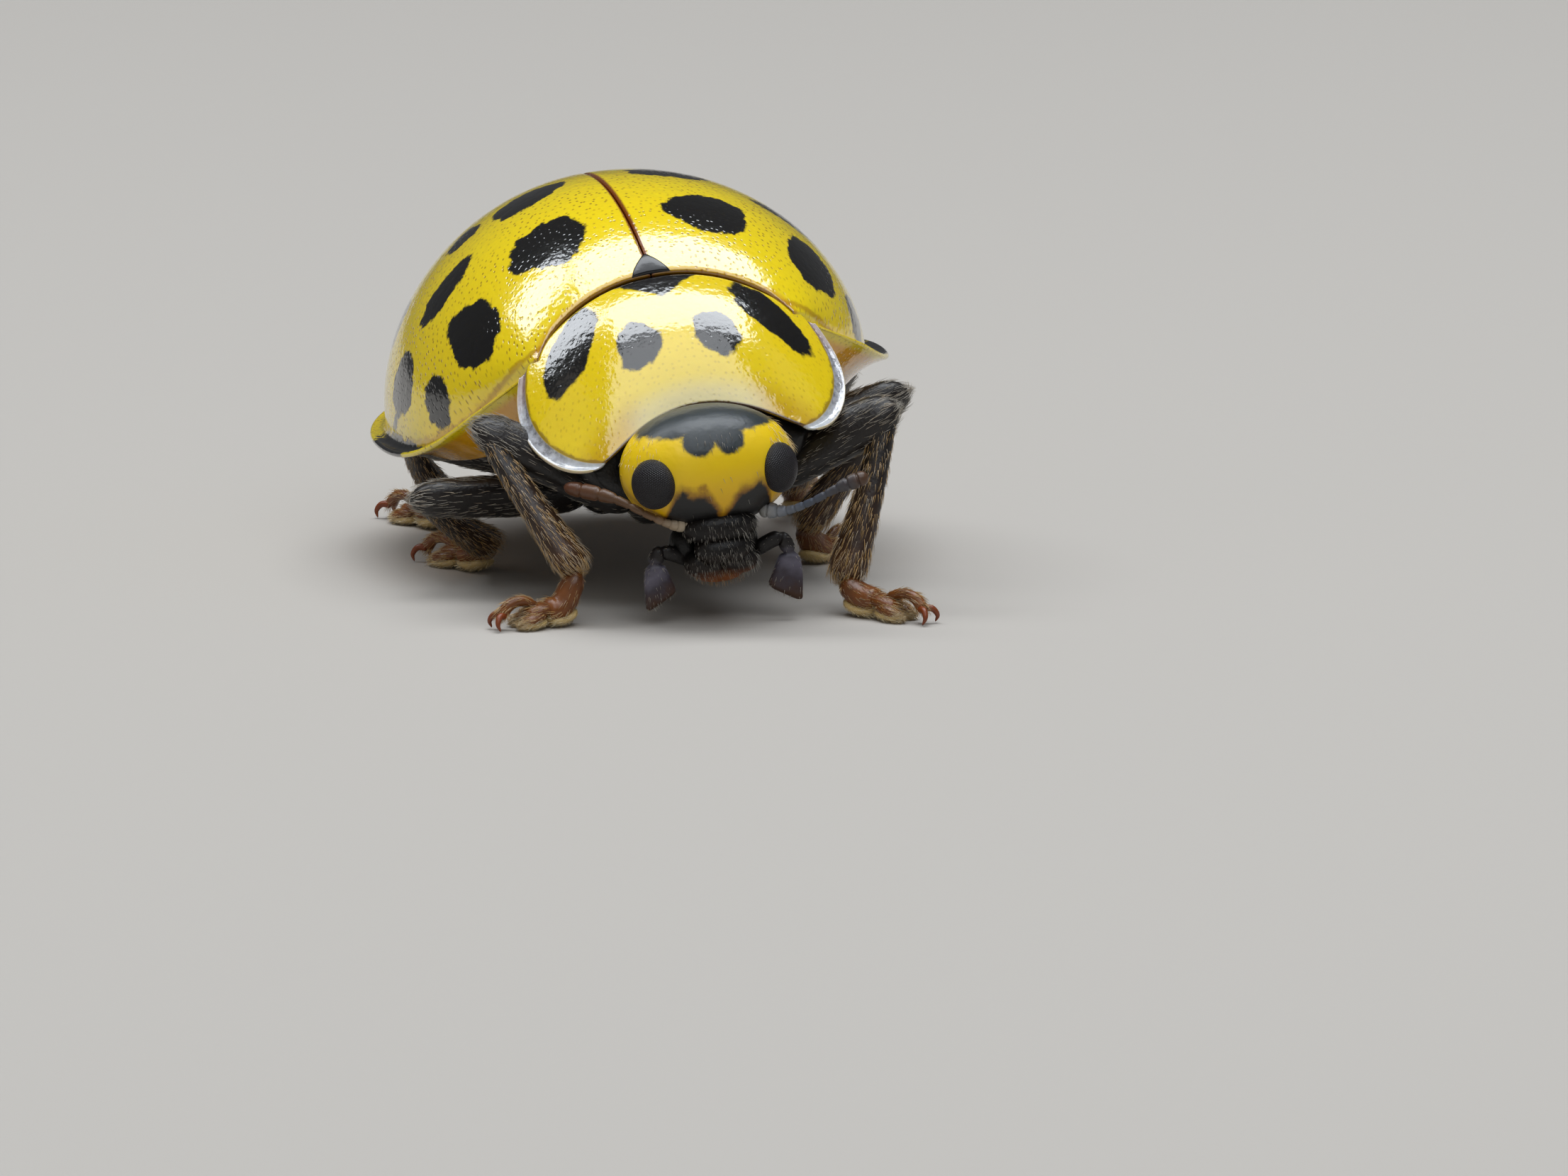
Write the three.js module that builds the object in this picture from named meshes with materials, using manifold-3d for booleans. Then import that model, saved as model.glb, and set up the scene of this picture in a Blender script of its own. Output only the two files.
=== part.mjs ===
// Twenty-two-spot ladybird, Psyllobora vigintiduopunctata, at life size and standing still.
// Millimetres, +Z up, head towards -Y, the beetle's own left side on +X, floor at z = 0.
//
// The body has a frame of its own: x = 0 is the seam between the wing cases, and z = 0 is the
// level of the wing cases' rim where the beetle is widest. The group "body" leans that frame
// to one side and lifts it onto the legs. Only the feet are drawn straight in the floor's frame.

import * as THREE from "three";
import { mergeVertices } from "three/addons/utils/BufferGeometryUtils.js";
import Module from "manifold-3d";

const wasm = await Module();
wasm.setup();

// ---- driving dimensions -------------------------------------------------------------------

const SEAM = 0.02; // gap between neighbouring pieces
const LEAN = THREE.MathUtils.degToRad(8); // the beetle's left side is carried higher
const RIDE = 1.09; // height of the rim's level above the floor
const ORIGIN_SHIFT = [0.03, 0.17]; // puts the origin under the middle of the whole beetle

const RIM_HALF = 1.75; // half the body's width, over the rims of the wing cases
const WIDEST = 0.35; // y where the wing cases are widest
const BASE = -1.0; // y of the wing cases' front edge at the seam
const TIP = 2.2; // y of the wing cases' hind end
const OUTLINE_FRONT = -1.45; // y where the rim's oval would close, under the pronotum
const OVAL_FRONT = 2.2; // roundness of the outline before and behind the widest line
const OVAL_HIND = 2.1;
const SHOULDER_RISE = 1.06; // how far the rim's line would climb by OUTLINE_FRONT
const RIM_FLARE = 0.12; // width of the thin flared rim
const RIM_DROP = 0.07; // height of the wall's foot above the rim's edge
const RIM_THICK = 0.1;
const UNDERRIM = 0.32; // width of the band turned in under the rim
const CREST = 1.55; // height of the seam's highest point
const CREST_AT = 0.3; // its y
const CREST_FRONT = 1.9; // length of the seam's quarter oval to the front, and to the back
const CREST_HIND = 1.95;
const DOME_FULLNESS = 0.53; // 0.5 is an ellipse, more is steeper-sided
const CASE_THICK = 0.45;

const BELLY = -0.42; // lowest level of the underside
const WAIST = 0.34; // y where the thorax ends and the abdomen begins
const BELLY_TIP = 1.95;

const BASE_BOW = 0.15; // how far the pronotum's hind edge curves, per square of x
const SHIELD_DEPTH = 0.24; // thickness of the pronotum along its middle
const SHIELD_RIM = 0.07; // and at its sides

const HEAD = { at: [0, -2.0, -0.08], half: [0.56, 0.42, 0.385] };
const EYE = { at: [0.45, -2.16, -0.1], half: [0.16, 0.14, 0.18] };
const LABRUM = { at: [0, -2.22, -0.5], half: [0.27, 0.16, 0.16] };
const MOUTH = { at: [0, -2.04, -0.64], half: [0.27, 0.2, 0.2] };

// Thickness of the limbs, as half widths at the start, the fullest place and the end.
const COXA = [0.17, 0.19, 0.15];
const FEMUR = [0.16, 0.2, 0.14];
const TIBIA = [0.1, 0.14, 0.16];
const FEELER = [0.09, 0.085, 0.1];
const PALP = 0.08; // half the thickness of a palp
const PALP_STALK = 0.55; // how far along it the blade begins to widen
const THIGH_BOW = 0.04; // how far the thighs and the shins bend outward
const SHIN_BOW = 0.11;

// How finely the round pieces are faceted: facets around, then rows from end to end.
const HEAD_FACETS = [14, 9];
const EYE_FACETS = [12, 7];
const MOUTH_FACETS = [12, 7];
const COXA_FACETS = [8, 5];
const LEG_FACETS = [8, 7];
const FOOT_FACETS = [6, 4];
const CLAW_FACETS = [4, 3];
const FEELER_FACETS = [7, 10];
const PALP_FACETS = [8, 10];

// Joints of the six legs in the body's frame, and where each foot's claws rest on the floor.
const LEGS = {
  front_right: {
    hip: [-0.42, -1.45, -0.34],
    knee: [-1.35, -1.38, 0.33],
    heel: [-0.97, -1.93, -0.6],
    claws: [-1.46, -2.02],
  },
  front_left: {
    hip: [0.42, -1.45, -0.34],
    knee: [1.29, -1.75, 0.03],
    heel: [0.79, -2.0, -0.99],
    claws: [1.38, -2.5],
  },
  middle_right: {
    hip: [-0.55, -0.62, -0.4],
    knee: [-1.7, -0.7, -0.2],
    heel: [-1.17, -0.12, -0.74],
    claws: [-1.4, 0.48],
  },
  middle_left: {
    hip: [0.55, -0.62, -0.4],
    knee: [1.6, -0.8, -0.08],
    heel: [0.95, -0.35, -0.95],
    claws: [1.5, 0.05],
  },
  hind_right: {
    hip: [-0.5, 0.3, -0.4],
    knee: [-1.42, 0.92, -0.1],
    heel: [-1.12, 1.45, -0.74],
    claws: [-1.3, 2.08],
  },
  hind_left: {
    hip: [0.5, 0.3, -0.4],
    knee: [1.62, 0.78, -0.22],
    heel: [1.3, 1.43, -1.07],
    claws: [1.75, 1.98],
  },
};

// ---- small mathematics --------------------------------------------------------------------

const V = (x, y, z) => new THREE.Vector3(x, y, z);
const vec = (a) => new THREE.Vector3(...a);
const mix = THREE.MathUtils.lerp;
const clamp = THREE.MathUtils.clamp;
const cap = (value) => Math.max(value, 0);
const QUARTER = Math.PI / 2;
const END_BLUNTNESS = 0.4; // 0.5 gives round ends, less gives blunter ones

// Moves every vertex of a three.js geometry to place(vertex), then closes and orients it.
function shaped(geometry, place) {
  const bare = geometry.clone();
  bare.deleteAttribute("normal");
  bare.deleteAttribute("uv");
  const position = bare.attributes.position;
  for (let i = 0; i < position.count; i += 1) {
    const to = place(new THREE.Vector3().fromBufferAttribute(position, i));
    position.setXYZ(i, to.x, to.y, to.z);
  }
  const whole = mergeVertices(bare, 1e-3);
  const corners = whole.index.array;
  const kept = [];
  for (let i = 0; i < corners.length; i += 3) {
    const [a, b, c] = corners.subarray(i, i + 3);
    if (a !== b && b !== c && c !== a) kept.push(a, b, c);
  }
  whole.setIndex(kept);
  return toSolid(whole).volume() < 0 ? turned(whole) : whole;
}

function turned(geometry) {
  const corners = Array.from(geometry.index.array);
  for (let i = 0; i < corners.length; i += 3) {
    [corners[i], corners[i + 1]] = [corners[i + 1], corners[i]];
  }
  geometry.setIndex(corners);
  return geometry;
}

function toSolid(geometry) {
  return new wasm.Manifold(
    new wasm.Mesh({
      numProp: 3,
      vertProperties: new Float32Array(geometry.attributes.position.array),
      triVerts: new Uint32Array(geometry.index.array),
    }),
  );
}

function toGeometry(solid) {
  const mesh = solid.getMesh();
  const geometry = new THREE.BufferGeometry();
  geometry.setAttribute("position", new THREE.BufferAttribute(mesh.vertProperties, 3));
  geometry.setIndex(Array.from(mesh.triVerts));
  return geometry;
}

// The largest body of a solid, without the crumbs that a cut may leave.
function mainBody(solid) {
  return solid.decompose().reduce((a, b) => (a.volume() > b.volume() ? a : b));
}

function carved(geometry, cutters) {
  const cut = (solid, cutter) => solid.subtract(toSolid(cutter));
  return toGeometry(mainBody(cutters.reduce(cut, toSolid(geometry))));
}

function joined(geometries) {
  return toGeometry(geometries.map(toSolid).reduce((a, b) => a.add(b)));
}

// A smooth egg of given centre and half sizes, grown by extra on every side.
function egg({ at, half }, facets, { side = 1, extra = 0 } = {}) {
  const [x, y, z] = at;
  const [a, b, c] = half.map((size) => size + extra);
  return shaped(new THREE.SphereGeometry(1, ...facets), (p) =>
    V(side * (x + p.x * a), y - p.z * b, z + p.y * c),
  );
}

// Half width of a limb at t: it swells from start to full at `peak`, and shrinks to end.
function limbWidth([start, full, end], peak, t) {
  const swell = t < peak ? Math.sin((QUARTER * t) / peak) : Math.cos((QUARTER * (t - peak)) / (1 - peak));
  return mix(t < peak ? start : end, full, cap(swell));
}

// A limb with blunt ends along a curve. `flank` is a direction across it, `deep` is its height
// over its width, and `extra` grows it on every side.
function limb(curve, widths, facets, { flank, deep = 1, peak = 0.45, extra = 0 }) {
  return shaped(new THREE.SphereGeometry(1, ...facets), (p) => {
    const t = clamp((1 - p.y) / 2, 0, 1);
    const ring = Math.hypot(p.x, p.z);
    const centre = curve.getPoint(t);
    const along = curve.getTangent(t);
    const across = flank.clone().addScaledVector(along, -flank.dot(along)).normalize();
    const up = new THREE.Vector3().crossVectors(along, across);
    const width = (limbWidth(widths, peak, t) + extra) * ring ** END_BLUNTNESS;
    const angle = Math.atan2(p.z, p.x);
    const tipShift = extra * (p.y > 0 ? -1 : 1) * (1 - ring);
    return centre
      .addScaledVector(across, Math.cos(angle) * width)
      .addScaledVector(up, Math.sin(angle) * width * deep)
      .addScaledVector(along, tipShift);
  });
}

// ---- the body's outlines, all in the body's frame -----------------------------------------

// Half width of the rim's oval at y.
function rimHalf(y) {
  const front = y < WIDEST;
  const reach = front ? (WIDEST - y) / (WIDEST - OUTLINE_FRONT) : (y - WIDEST) / (TIP - WIDEST);
  const power = front ? OVAL_FRONT : OVAL_HIND;
  return RIM_HALF * cap(1 - clamp(reach, 0, 1) ** power) ** (1 / power);
}

// Level of the rim's edge: flat behind, climbing to the shoulders in front.
function rimLevel(y) {
  return SHOULDER_RISE * clamp((WIDEST - y) / (WIDEST - OUTLINE_FRONT), 0, 1) ** 3;
}

// Height of the seam at y, for a dome whose crest and lengths are drawn in by `inset`.
function crestHeight(y, inset = 0) {
  const length = y < CREST_AT ? CREST_FRONT - inset * 0.3 : CREST_HIND - inset;
  return (CREST - inset) * Math.sqrt(cap(1 - ((y - CREST_AT) / length) ** 2));
}

// Narrow places have proportionally narrower rims.
const rimShare = (y) => Math.min(1, rimHalf(y) / 0.8);
const wallHalf = (y) => rimHalf(y) - RIM_FLARE * rimShare(y);
const underHalf = (y) => rimHalf(y) - UNDERRIM * rimShare(y);
const underLevel = (y) => rimLevel(y) * 0.5 - RIM_THICK * rimShare(y);

// y of a station: 0 at the front edge, 1 at the tip; the front edge bows forward at the sides.
function station(v, x, first, last) {
  return mix(first, last, Math.sin((v * Math.PI) / 2)) - BASE_BOW * x ** 2 * (1 - v) ** 3;
}

// Height of the wing cases' inner vault at (x, y).
function vault(x, y) {
  const low = underLevel(y);
  const top = Math.max(crestHeight(y, CASE_THICK), low);
  return low + (top - low) * Math.sqrt(cap(1 - (x / Math.max(underHalf(y), 0.01)) ** 2));
}

// One wing case. Across the box: eight strips of dome, then two of flared rim.
function wingCase(side) {
  const strips = 10;
  const domeStrips = 8;
  const rows = 12;
  return shaped(new THREE.BoxGeometry(1, 1, 1, strips, rows, 1), (p) => {
    const strip = (p.x + 0.5) * strips;
    const dome = Math.sin((Math.min(strip / domeStrips, 1) * Math.PI) / 2);
    const flare = cap(strip - domeStrips) / (strips - domeStrips);
    const v = p.y + 0.5;
    const rough = station(v, 0, BASE, TIP - 0.02);
    const y = station(v, wallHalf(rough) * dome, BASE, TIP - 0.02);
    if (p.z > 0) {
      const foot = rimLevel(y) + RIM_DROP;
      const rise = cap(crestHeight(y) - foot);
      const x = mix(wallHalf(y) * dome, rimHalf(y), flare);
      const z = foot + rise * cap(1 - dome ** 2) ** DOME_FULLNESS - RIM_DROP * flare;
      return V(side * (SEAM / 2 + x), y, z);
    }
    const x = mix(underHalf(y) * dome, rimHalf(y), flare);
    const edge = rimLevel(y) - RIM_THICK * rimShare(y);
    const z = flare > 0 ? mix(underLevel(y), edge, flare) : vault(x, y);
    return V(side * (SEAM / 2 + x), y, z);
  });
}

// A length of the trunk under the wing cases, from y = first to y = last.
function trunk(first, last, bow) {
  return shaped(new THREE.BoxGeometry(1, 1, 1, 10, 6, 1), (p) => {
    const across = Math.sin(p.x * Math.PI);
    const v = p.y + 0.5;
    const rough = mix(first, last, v);
    const reach = cap(underHalf(rough) - 2 * SEAM);
    const x = across * reach;
    const y = rough - bow * x ** 2 * (1 - v) ** 3;
    const side = underLevel(y) - 0.01;
    const keel = mix(side, BELLY, cap(1 - Math.abs(across) ** 2.4) ** 0.42 * keelShare(y));
    const top = vault(x, y) - 2 * SEAM;
    return V(x, y, mix(keel, Math.max(top, keel), p.z + 0.5));
  });
}

// The underside comes up towards the tip of the abdomen.
const keelShare = (y) => (y < 1 ? 1 : cap(1 - ((y - 1) / (BELLY_TIP + 0.15 - 1)) ** 2) ** 0.5);

// The pronotum's outer skin: s runs -1 to 1 across, t runs 0 at the hind edge to 1 at the front.
function shield(s, t) {
  const s2 = s ** 2;
  const fall = Math.abs(s) ** 2.2;
  const hind = V(1.02 * s, BASE - SEAM - BASE_BOW * (1.02 * s) ** 2, 1.1 - 0.5 * fall);
  const belly = V(1.27 * s, -1.57 + 0.06 * s2, 0.85 - 0.78 * fall);
  const front = V(0.7 * s, -1.8 - 0.18 * s2, 0.27 - 0.27 * s2);
  return hind
    .multiplyScalar((1 - t) ** 2)
    .addScaledVector(belly, 2 * t * (1 - t))
    .addScaledVector(front, t ** 2);
}

// The same, sunk by `depth` towards the middle of the body.
function sunkShield(s, t, depth) {
  const skin = shield(s, t);
  const inward = V(0, BASE - SEAM, -0.35).sub(skin).normalize();
  return skin.addScaledVector(inward, depth);
}

function pronotum() {
  return shaped(new THREE.BoxGeometry(1, 1, 1, 16, 7, 1), (p) => {
    const s = Math.sin(p.x * Math.PI);
    const depth = SHIELD_RIM + (SHIELD_DEPTH - SHIELD_RIM) * (1 - Math.abs(s) ** 4);
    return sunkShield(s, p.y + 0.5, depth * (0.5 - p.z));
  });
}

// The underside of the prothorax fills the pronotum's hollow and bulges below it.
function prosternum() {
  const reach = 0.8;
  return shaped(new THREE.BoxGeometry(1, 1, 1, 8, 4, 2), (p) => {
    const s = Math.sin(p.x * Math.PI);
    const t = p.y + 0.5;
    const top = sunkShield(s * reach, t * 0.92, SHIELD_DEPTH + SEAM);
    const keel = mix(-0.1, BELLY, cap(1 - Math.abs(s) ** 2.2) ** 0.5);
    const under = V(top.x * 0.95, mix(BASE - SEAM - BASE_BOW * top.x ** 2, -1.66, t), keel);
    return under.lerp(top, p.z + 0.5);
  });
}

// ---- pieces -------------------------------------------------------------------------------

const colours = {
  yellow: 0xe9c400,
  black: 0x14110f,
  brown: 0x2b1d14,
  tan: 0x7a4a22,
  horn: 0x6d6a68,
  eye: 0x1c191c,
};

function finish(colour, roughness) {
  return new THREE.MeshStandardMaterial({ color: colours[colour], roughness, metalness: 0 });
}

function piece(name, geometry, material) {
  const mesh = new THREE.Mesh(geometry, material);
  mesh.name = name;
  return mesh;
}

const SIDES = { left: 1, right: -1 };
const ladybird = new THREE.Group();
const body = new THREE.Group();
body.rotation.y = -LEAN;
body.position.z = RIDE;
const onFloor = new THREE.Group();
onFloor.position.set(ORIGIN_SHIFT[0], ORIGIN_SHIFT[1], 0);
onFloor.add(body);
ladybird.add(onFloor);
body.updateMatrix();

// The small shield between the bases of the wing cases.
function scutellum(extra) {
  const outline = new THREE.Shape();
  outline.moveTo(-0.15 - extra, -extra);
  outline.lineTo(0.15 + extra, -extra);
  outline.quadraticCurveTo(0.08 + extra, 0.15, 0, 0.2 + extra);
  outline.quadraticCurveTo(-0.08 - extra, 0.15, -0.15 - extra, -extra);
  const options = { depth: 0.22 + 2 * extra, bevelEnabled: false, curveSegments: 4 };
  const plate = new THREE.ExtrudeGeometry(outline, options);
  return shaped(plate, (p) => V(p.x, BASE + 0.005 + p.y, 0.93 + p.z + p.y * 0.42 - p.x ** 2 * 0.6));
}

body.add(piece("scutellum", scutellum(0), finish("black", 0.3)));
for (const [name, side] of Object.entries(SIDES)) {
  const shell = carved(wingCase(side), [scutellum(SEAM)]);
  body.add(piece(`wing_case_${name}`, shell, finish("yellow", 0.3)));
}

// Legs: each piece is hollowed where it meets the one before it.
const cuts = [];
for (const [name, { hip, knee, heel, claws }] of Object.entries(LEGS)) {
  const [hipAt, kneeAt, heelAt] = [hip, knee, heel].map(vec);
  const thigh = kneeAt.clone().sub(hipAt).normalize();
  const shin = heelAt.clone().sub(kneeAt).normalize();
  const flank = new THREE.Vector3().crossVectors(thigh, shin).normalize();
  const outward = kneeAt.clone().sub(hipAt.clone().add(heelAt).multiplyScalar(0.5)).normalize();

  const root = hipAt.clone().multiply(V(0.45, 1, 1)).add(V(0, 0, 0.06));
  const coxaEnd = hipAt.clone().addScaledVector(thigh, 0.08);
  const coxaLine = new THREE.LineCurve3(root, coxaEnd);
  const coxa = (extra) => limb(coxaLine, COXA, COXA_FACETS, { flank: V(0, 1, 0), extra });

  const kneeEnd = kneeAt.clone().addScaledVector(thigh, 0.11);
  const thighMiddle = hipAt.clone().add(kneeEnd).multiplyScalar(0.5);
  thighMiddle.addScaledVector(outward, THIGH_BOW);
  const femurLine = new THREE.QuadraticBezierCurve3(hipAt, thighMiddle, kneeEnd);
  const femur = (extra) => limb(femurLine, FEMUR, LEG_FACETS, { flank, extra });

  const shinMiddle = kneeAt.clone().add(heelAt).multiplyScalar(0.5);
  shinMiddle.addScaledVector(outward, SHIN_BOW);
  const tibiaLine = new THREE.QuadraticBezierCurve3(kneeAt, shinMiddle, heelAt);
  const tibia = (extra) => limb(tibiaLine, TIBIA, LEG_FACETS, { flank, extra, peak: 0.5 });

  body.add(piece(`coxa_${name}`, coxa(0), finish("black", 0.5)));
  body.add(piece(`femur_${name}`, carved(femur(0), [coxa(SEAM)]), finish("brown", 0.4)));
  body.add(piece(`tibia_${name}`, carved(tibia(0), [femur(SEAM)]), finish("brown", 0.45)));
  const tibiaRoom = tibia(SEAM).applyMatrix4(body.matrix);
  onFloor.add(piece(`tarsus_${name}`, tarsus(heelAt, claws, tibiaRoom), finish("tan", 0.5)));
  cuts.push(coxa(SEAM), femur(SEAM));
}

// A foot in the floor's frame: two padded joints, the slim last joint and two claws, with every
// underside cut flat at the floor.
function tarsus(heelAt, claws, tibiaRoom) {
  const from = heelAt.clone().applyMatrix4(body.matrix);
  const to = V(claws[0], claws[1], 0.05);
  const ahead = V(to.x - from.x, to.y - from.y, 0);
  const length = ahead.length();
  ahead.normalize();
  const flank = V(-ahead.y, ahead.x, 0);
  const at = (share, height, sideways = 0) => {
    const point = V(from.x, from.y, height).addScaledVector(ahead, share * length);
    return point.addScaledVector(flank, sideways);
  };
  const joint = (a, b, widths, facets = FOOT_FACETS) =>
    limb(new THREE.LineCurve3(a, b), widths, facets, { flank });
  const joints = [
    joint(from, at(0.42, 0.13), [0.12, 0.15, 0.14]),
    joint(at(0.25, 0.15), at(0.74, 0.045), [0.12, 0.16, 0.14]),
    joint(at(0.5, 0.2), at(0.92, 0.1), [0.07, 0.085, 0.08]),
    joint(at(0.84, 0.1, 0.02), at(1, 0.03, 0.08), [0.05, 0.05, 0.03], CLAW_FACETS),
    joint(at(0.84, 0.1, -0.02), at(1, 0.03, -0.08), [0.05, 0.05, 0.03], CLAW_FACETS),
  ];
  const under = new THREE.BoxGeometry(2 * length + 1, 2 * length + 1, 0.6);
  under.translate(from.x, from.y, -0.3);
  const floor = shaped(under, (p) => p);
  return carved(joined(joints), [floor, tibiaRoom]);
}

// Trunk.
const thorax = trunk(BASE + 0.01, WAIST - SEAM, BASE_BOW);
const abdomen = trunk(WAIST, BELLY_TIP, 0);
const thoraxCuts = [scutellum(SEAM), ...cuts];
body.add(piece("thorax_underside", carved(thorax, thoraxCuts), finish("black", 0.5)));
body.add(piece("abdomen", carved(abdomen, cuts), finish("black", 0.5)));

// Head with its eyes, lip and mouth. Each `room` is a piece grown by the gap to its neighbours.
const headRoom = egg(HEAD, HEAD_FACETS, { extra: SEAM });
const lipRoom = egg(LABRUM, MOUTH_FACETS, { extra: SEAM });
const mouthRoom = egg(MOUTH, MOUTH_FACETS, { extra: SEAM });
const eyeRooms = Object.values(SIDES).map((side) => egg(EYE, EYE_FACETS, { side, extra: SEAM }));
for (const [name, side] of Object.entries(SIDES)) {
  body.add(piece(`eye_${name}`, egg(EYE, EYE_FACETS, { side }), finish("eye", 0.6)));
}
body.add(piece("head", carved(egg(HEAD, HEAD_FACETS), eyeRooms), finish("yellow", 0.35)));
body.add(piece("labrum", carved(egg(LABRUM, MOUTH_FACETS), [headRoom]), finish("black", 0.5)));
const jaws = carved(egg(MOUTH, MOUTH_FACETS), [headRoom, lipRoom]);
body.add(piece("mouth", jaws, finish("brown", 0.5)));

// Prothorax.
body.add(piece("pronotum", carved(pronotum(), [headRoom]), finish("yellow", 0.3)));
const breast = carved(prosternum(), [headRoom, ...cuts]);
body.add(piece("prosternum", breast, finish("black", 0.5)));

// Feelers sweep out and back from below the eyes; the right one is folded under the pronotum.
const FEELERS = {
  left: [
    [0.27, -2.16, -0.36],
    [0.52, -2.3, -0.36],
    [0.74, -2.44, -0.28],
    [0.93, -2.5, -0.2],
  ],
  right: [
    [-0.27, -2.16, -0.36],
    [-0.5, -2.22, -0.26],
    [-0.7, -2.05, -0.13],
    [-0.95, -1.76, -0.06],
  ],
};
for (const [name, route] of Object.entries(FEELERS)) {
  const line = new THREE.CatmullRomCurve3(route.map(vec));
  const feeler = limb(line, FEELER, FEELER_FACETS, { flank: V(0, 0, 1), peak: 0.5 });
  const cutters = [headRoom, lipRoom, ...eyeRooms];
  body.add(piece(`antenna_${name}`, carved(feeler, cutters), finish("horn", 0.5)));
}

// Palps: a short bent stalk that widens into a flat blade like a hatchet's. The two corners of
// the blade's edge are given towards +X.
const PALP_ROOT = [0.2, -2.06, -0.66];
const PALPS = {
  left: {
    elbow: [0.42, -2.08, -0.6],
    joint: [0.43, -2.07, -0.72],
    edge: [
      [0.25, -2.08, -0.9],
      [0.48, -2.1, -1.04],
    ],
  },
  right: {
    elbow: [-0.44, -2.08, -0.54],
    joint: [-0.48, -2.07, -0.63],
    edge: [
      [-0.59, -2.1, -0.93],
      [-0.36, -2.08, -0.82],
    ],
  },
};

function palp(root, { elbow, joint, edge }) {
  const [first, last] = edge.map(vec);
  const halfEdge = last.clone().sub(first).multiplyScalar(0.5);
  const line = new THREE.CatmullRomCurve3([root, vec(elbow), vec(joint), first.add(halfEdge)]);
  return shaped(new THREE.SphereGeometry(1, ...PALP_FACETS), (p) => {
    const t = clamp((1 - p.y) / 2, 0, 1);
    const spread = clamp((t - PALP_STALK) / (1 - PALP_STALK), 0, 1);
    const flank = line.getTangent(t).cross(V(0, 1, 0)).normalize().multiplyScalar(PALP);
    const angle = Math.atan2(p.z, p.x);
    const reach = Math.hypot(p.x, p.z) ** END_BLUNTNESS;
    return line
      .getPoint(t)
      .addScaledVector(flank.lerp(halfEdge, spread), Math.cos(angle) * reach)
      .addScaledVector(V(0, PALP, 0), Math.sin(angle) * reach);
  });
}

for (const [name, side] of Object.entries(SIDES)) {
  const root = vec(PALP_ROOT).multiply(V(side, 1, 1));
  const shape = carved(palp(root, PALPS[name]), [mouthRoom, headRoom]);
  body.add(piece(`palp_${name}`, shape, finish("horn", 0.5)));
}

export default ladybird;
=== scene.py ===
"""Twenty-two-spot ladybird, a life-size still model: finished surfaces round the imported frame."""

import math

import bpy
import numpy as np
from mathutils import Matrix


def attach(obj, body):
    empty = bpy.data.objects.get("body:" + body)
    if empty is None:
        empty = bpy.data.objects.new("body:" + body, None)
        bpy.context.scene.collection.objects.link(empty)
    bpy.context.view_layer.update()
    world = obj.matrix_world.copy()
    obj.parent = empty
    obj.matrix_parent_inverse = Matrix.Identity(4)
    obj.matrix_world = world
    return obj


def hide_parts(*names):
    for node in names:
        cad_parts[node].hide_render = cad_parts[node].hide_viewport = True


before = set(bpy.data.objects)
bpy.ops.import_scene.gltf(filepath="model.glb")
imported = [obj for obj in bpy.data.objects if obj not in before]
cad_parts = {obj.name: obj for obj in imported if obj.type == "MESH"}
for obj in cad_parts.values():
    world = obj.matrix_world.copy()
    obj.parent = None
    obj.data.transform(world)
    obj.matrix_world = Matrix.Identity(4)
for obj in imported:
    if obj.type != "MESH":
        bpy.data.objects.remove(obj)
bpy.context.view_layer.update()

# ---- Stance, camera, floor and light
# The beetle leans to its right, so its body has a frame of its own, in millimetres: x = 0 is the
# seam between the wing cases, +x the beetle's left, -y the head's side, z = 0 the level of the
# rim. Shapes are worked out there and then settled onto the floor.

MM = 0.001
LEAN = math.radians(8)
BODY_PLACE = np.array([0.03, 0.17, 1.09])
VIEW_AZIMUTH = math.radians(-12)
VIEW_HEIGHT = math.radians(12)
VIEW_ROLL = math.radians(8)
VIEW_DISTANCE = 80.0
VIEW_WIDTH = 10.635
VIEW_AIM = (0.986, -1.231)


def turned(points):
    """Body directions to floor directions: a turn by LEAN about the beetle's length."""
    x, y, z = np.moveaxis(np.asarray(points, float), -1, 0)
    c, s = math.cos(LEAN), math.sin(LEAN)
    return np.stack([x * c - z * s, y, x * s + z * c], -1)


def settled(points):
    """Body millimetres to floor metres: turned, then carried to the body's place."""
    return (turned(points) + BODY_PLACE) * MM


def unit(vectors):
    """Vectors over their own length."""
    vectors = np.asarray(vectors, float)
    length = np.linalg.norm(vectors, axis=-1, keepdims=True)
    return vectors / np.maximum(length, 1e-12)


def placed(name, data, axes, place):
    """A lamp or camera in the scene, its x, y and z axes and its place given in metres."""
    made = bpy.data.objects.new(name, data)
    matrix = np.eye(4)
    matrix[:3, :3] = np.stack(axes, 1)
    matrix[:3, 3] = place
    made.matrix_world = Matrix(matrix.tolist())
    bpy.context.scene.collection.objects.link(made)
    return made


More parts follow.
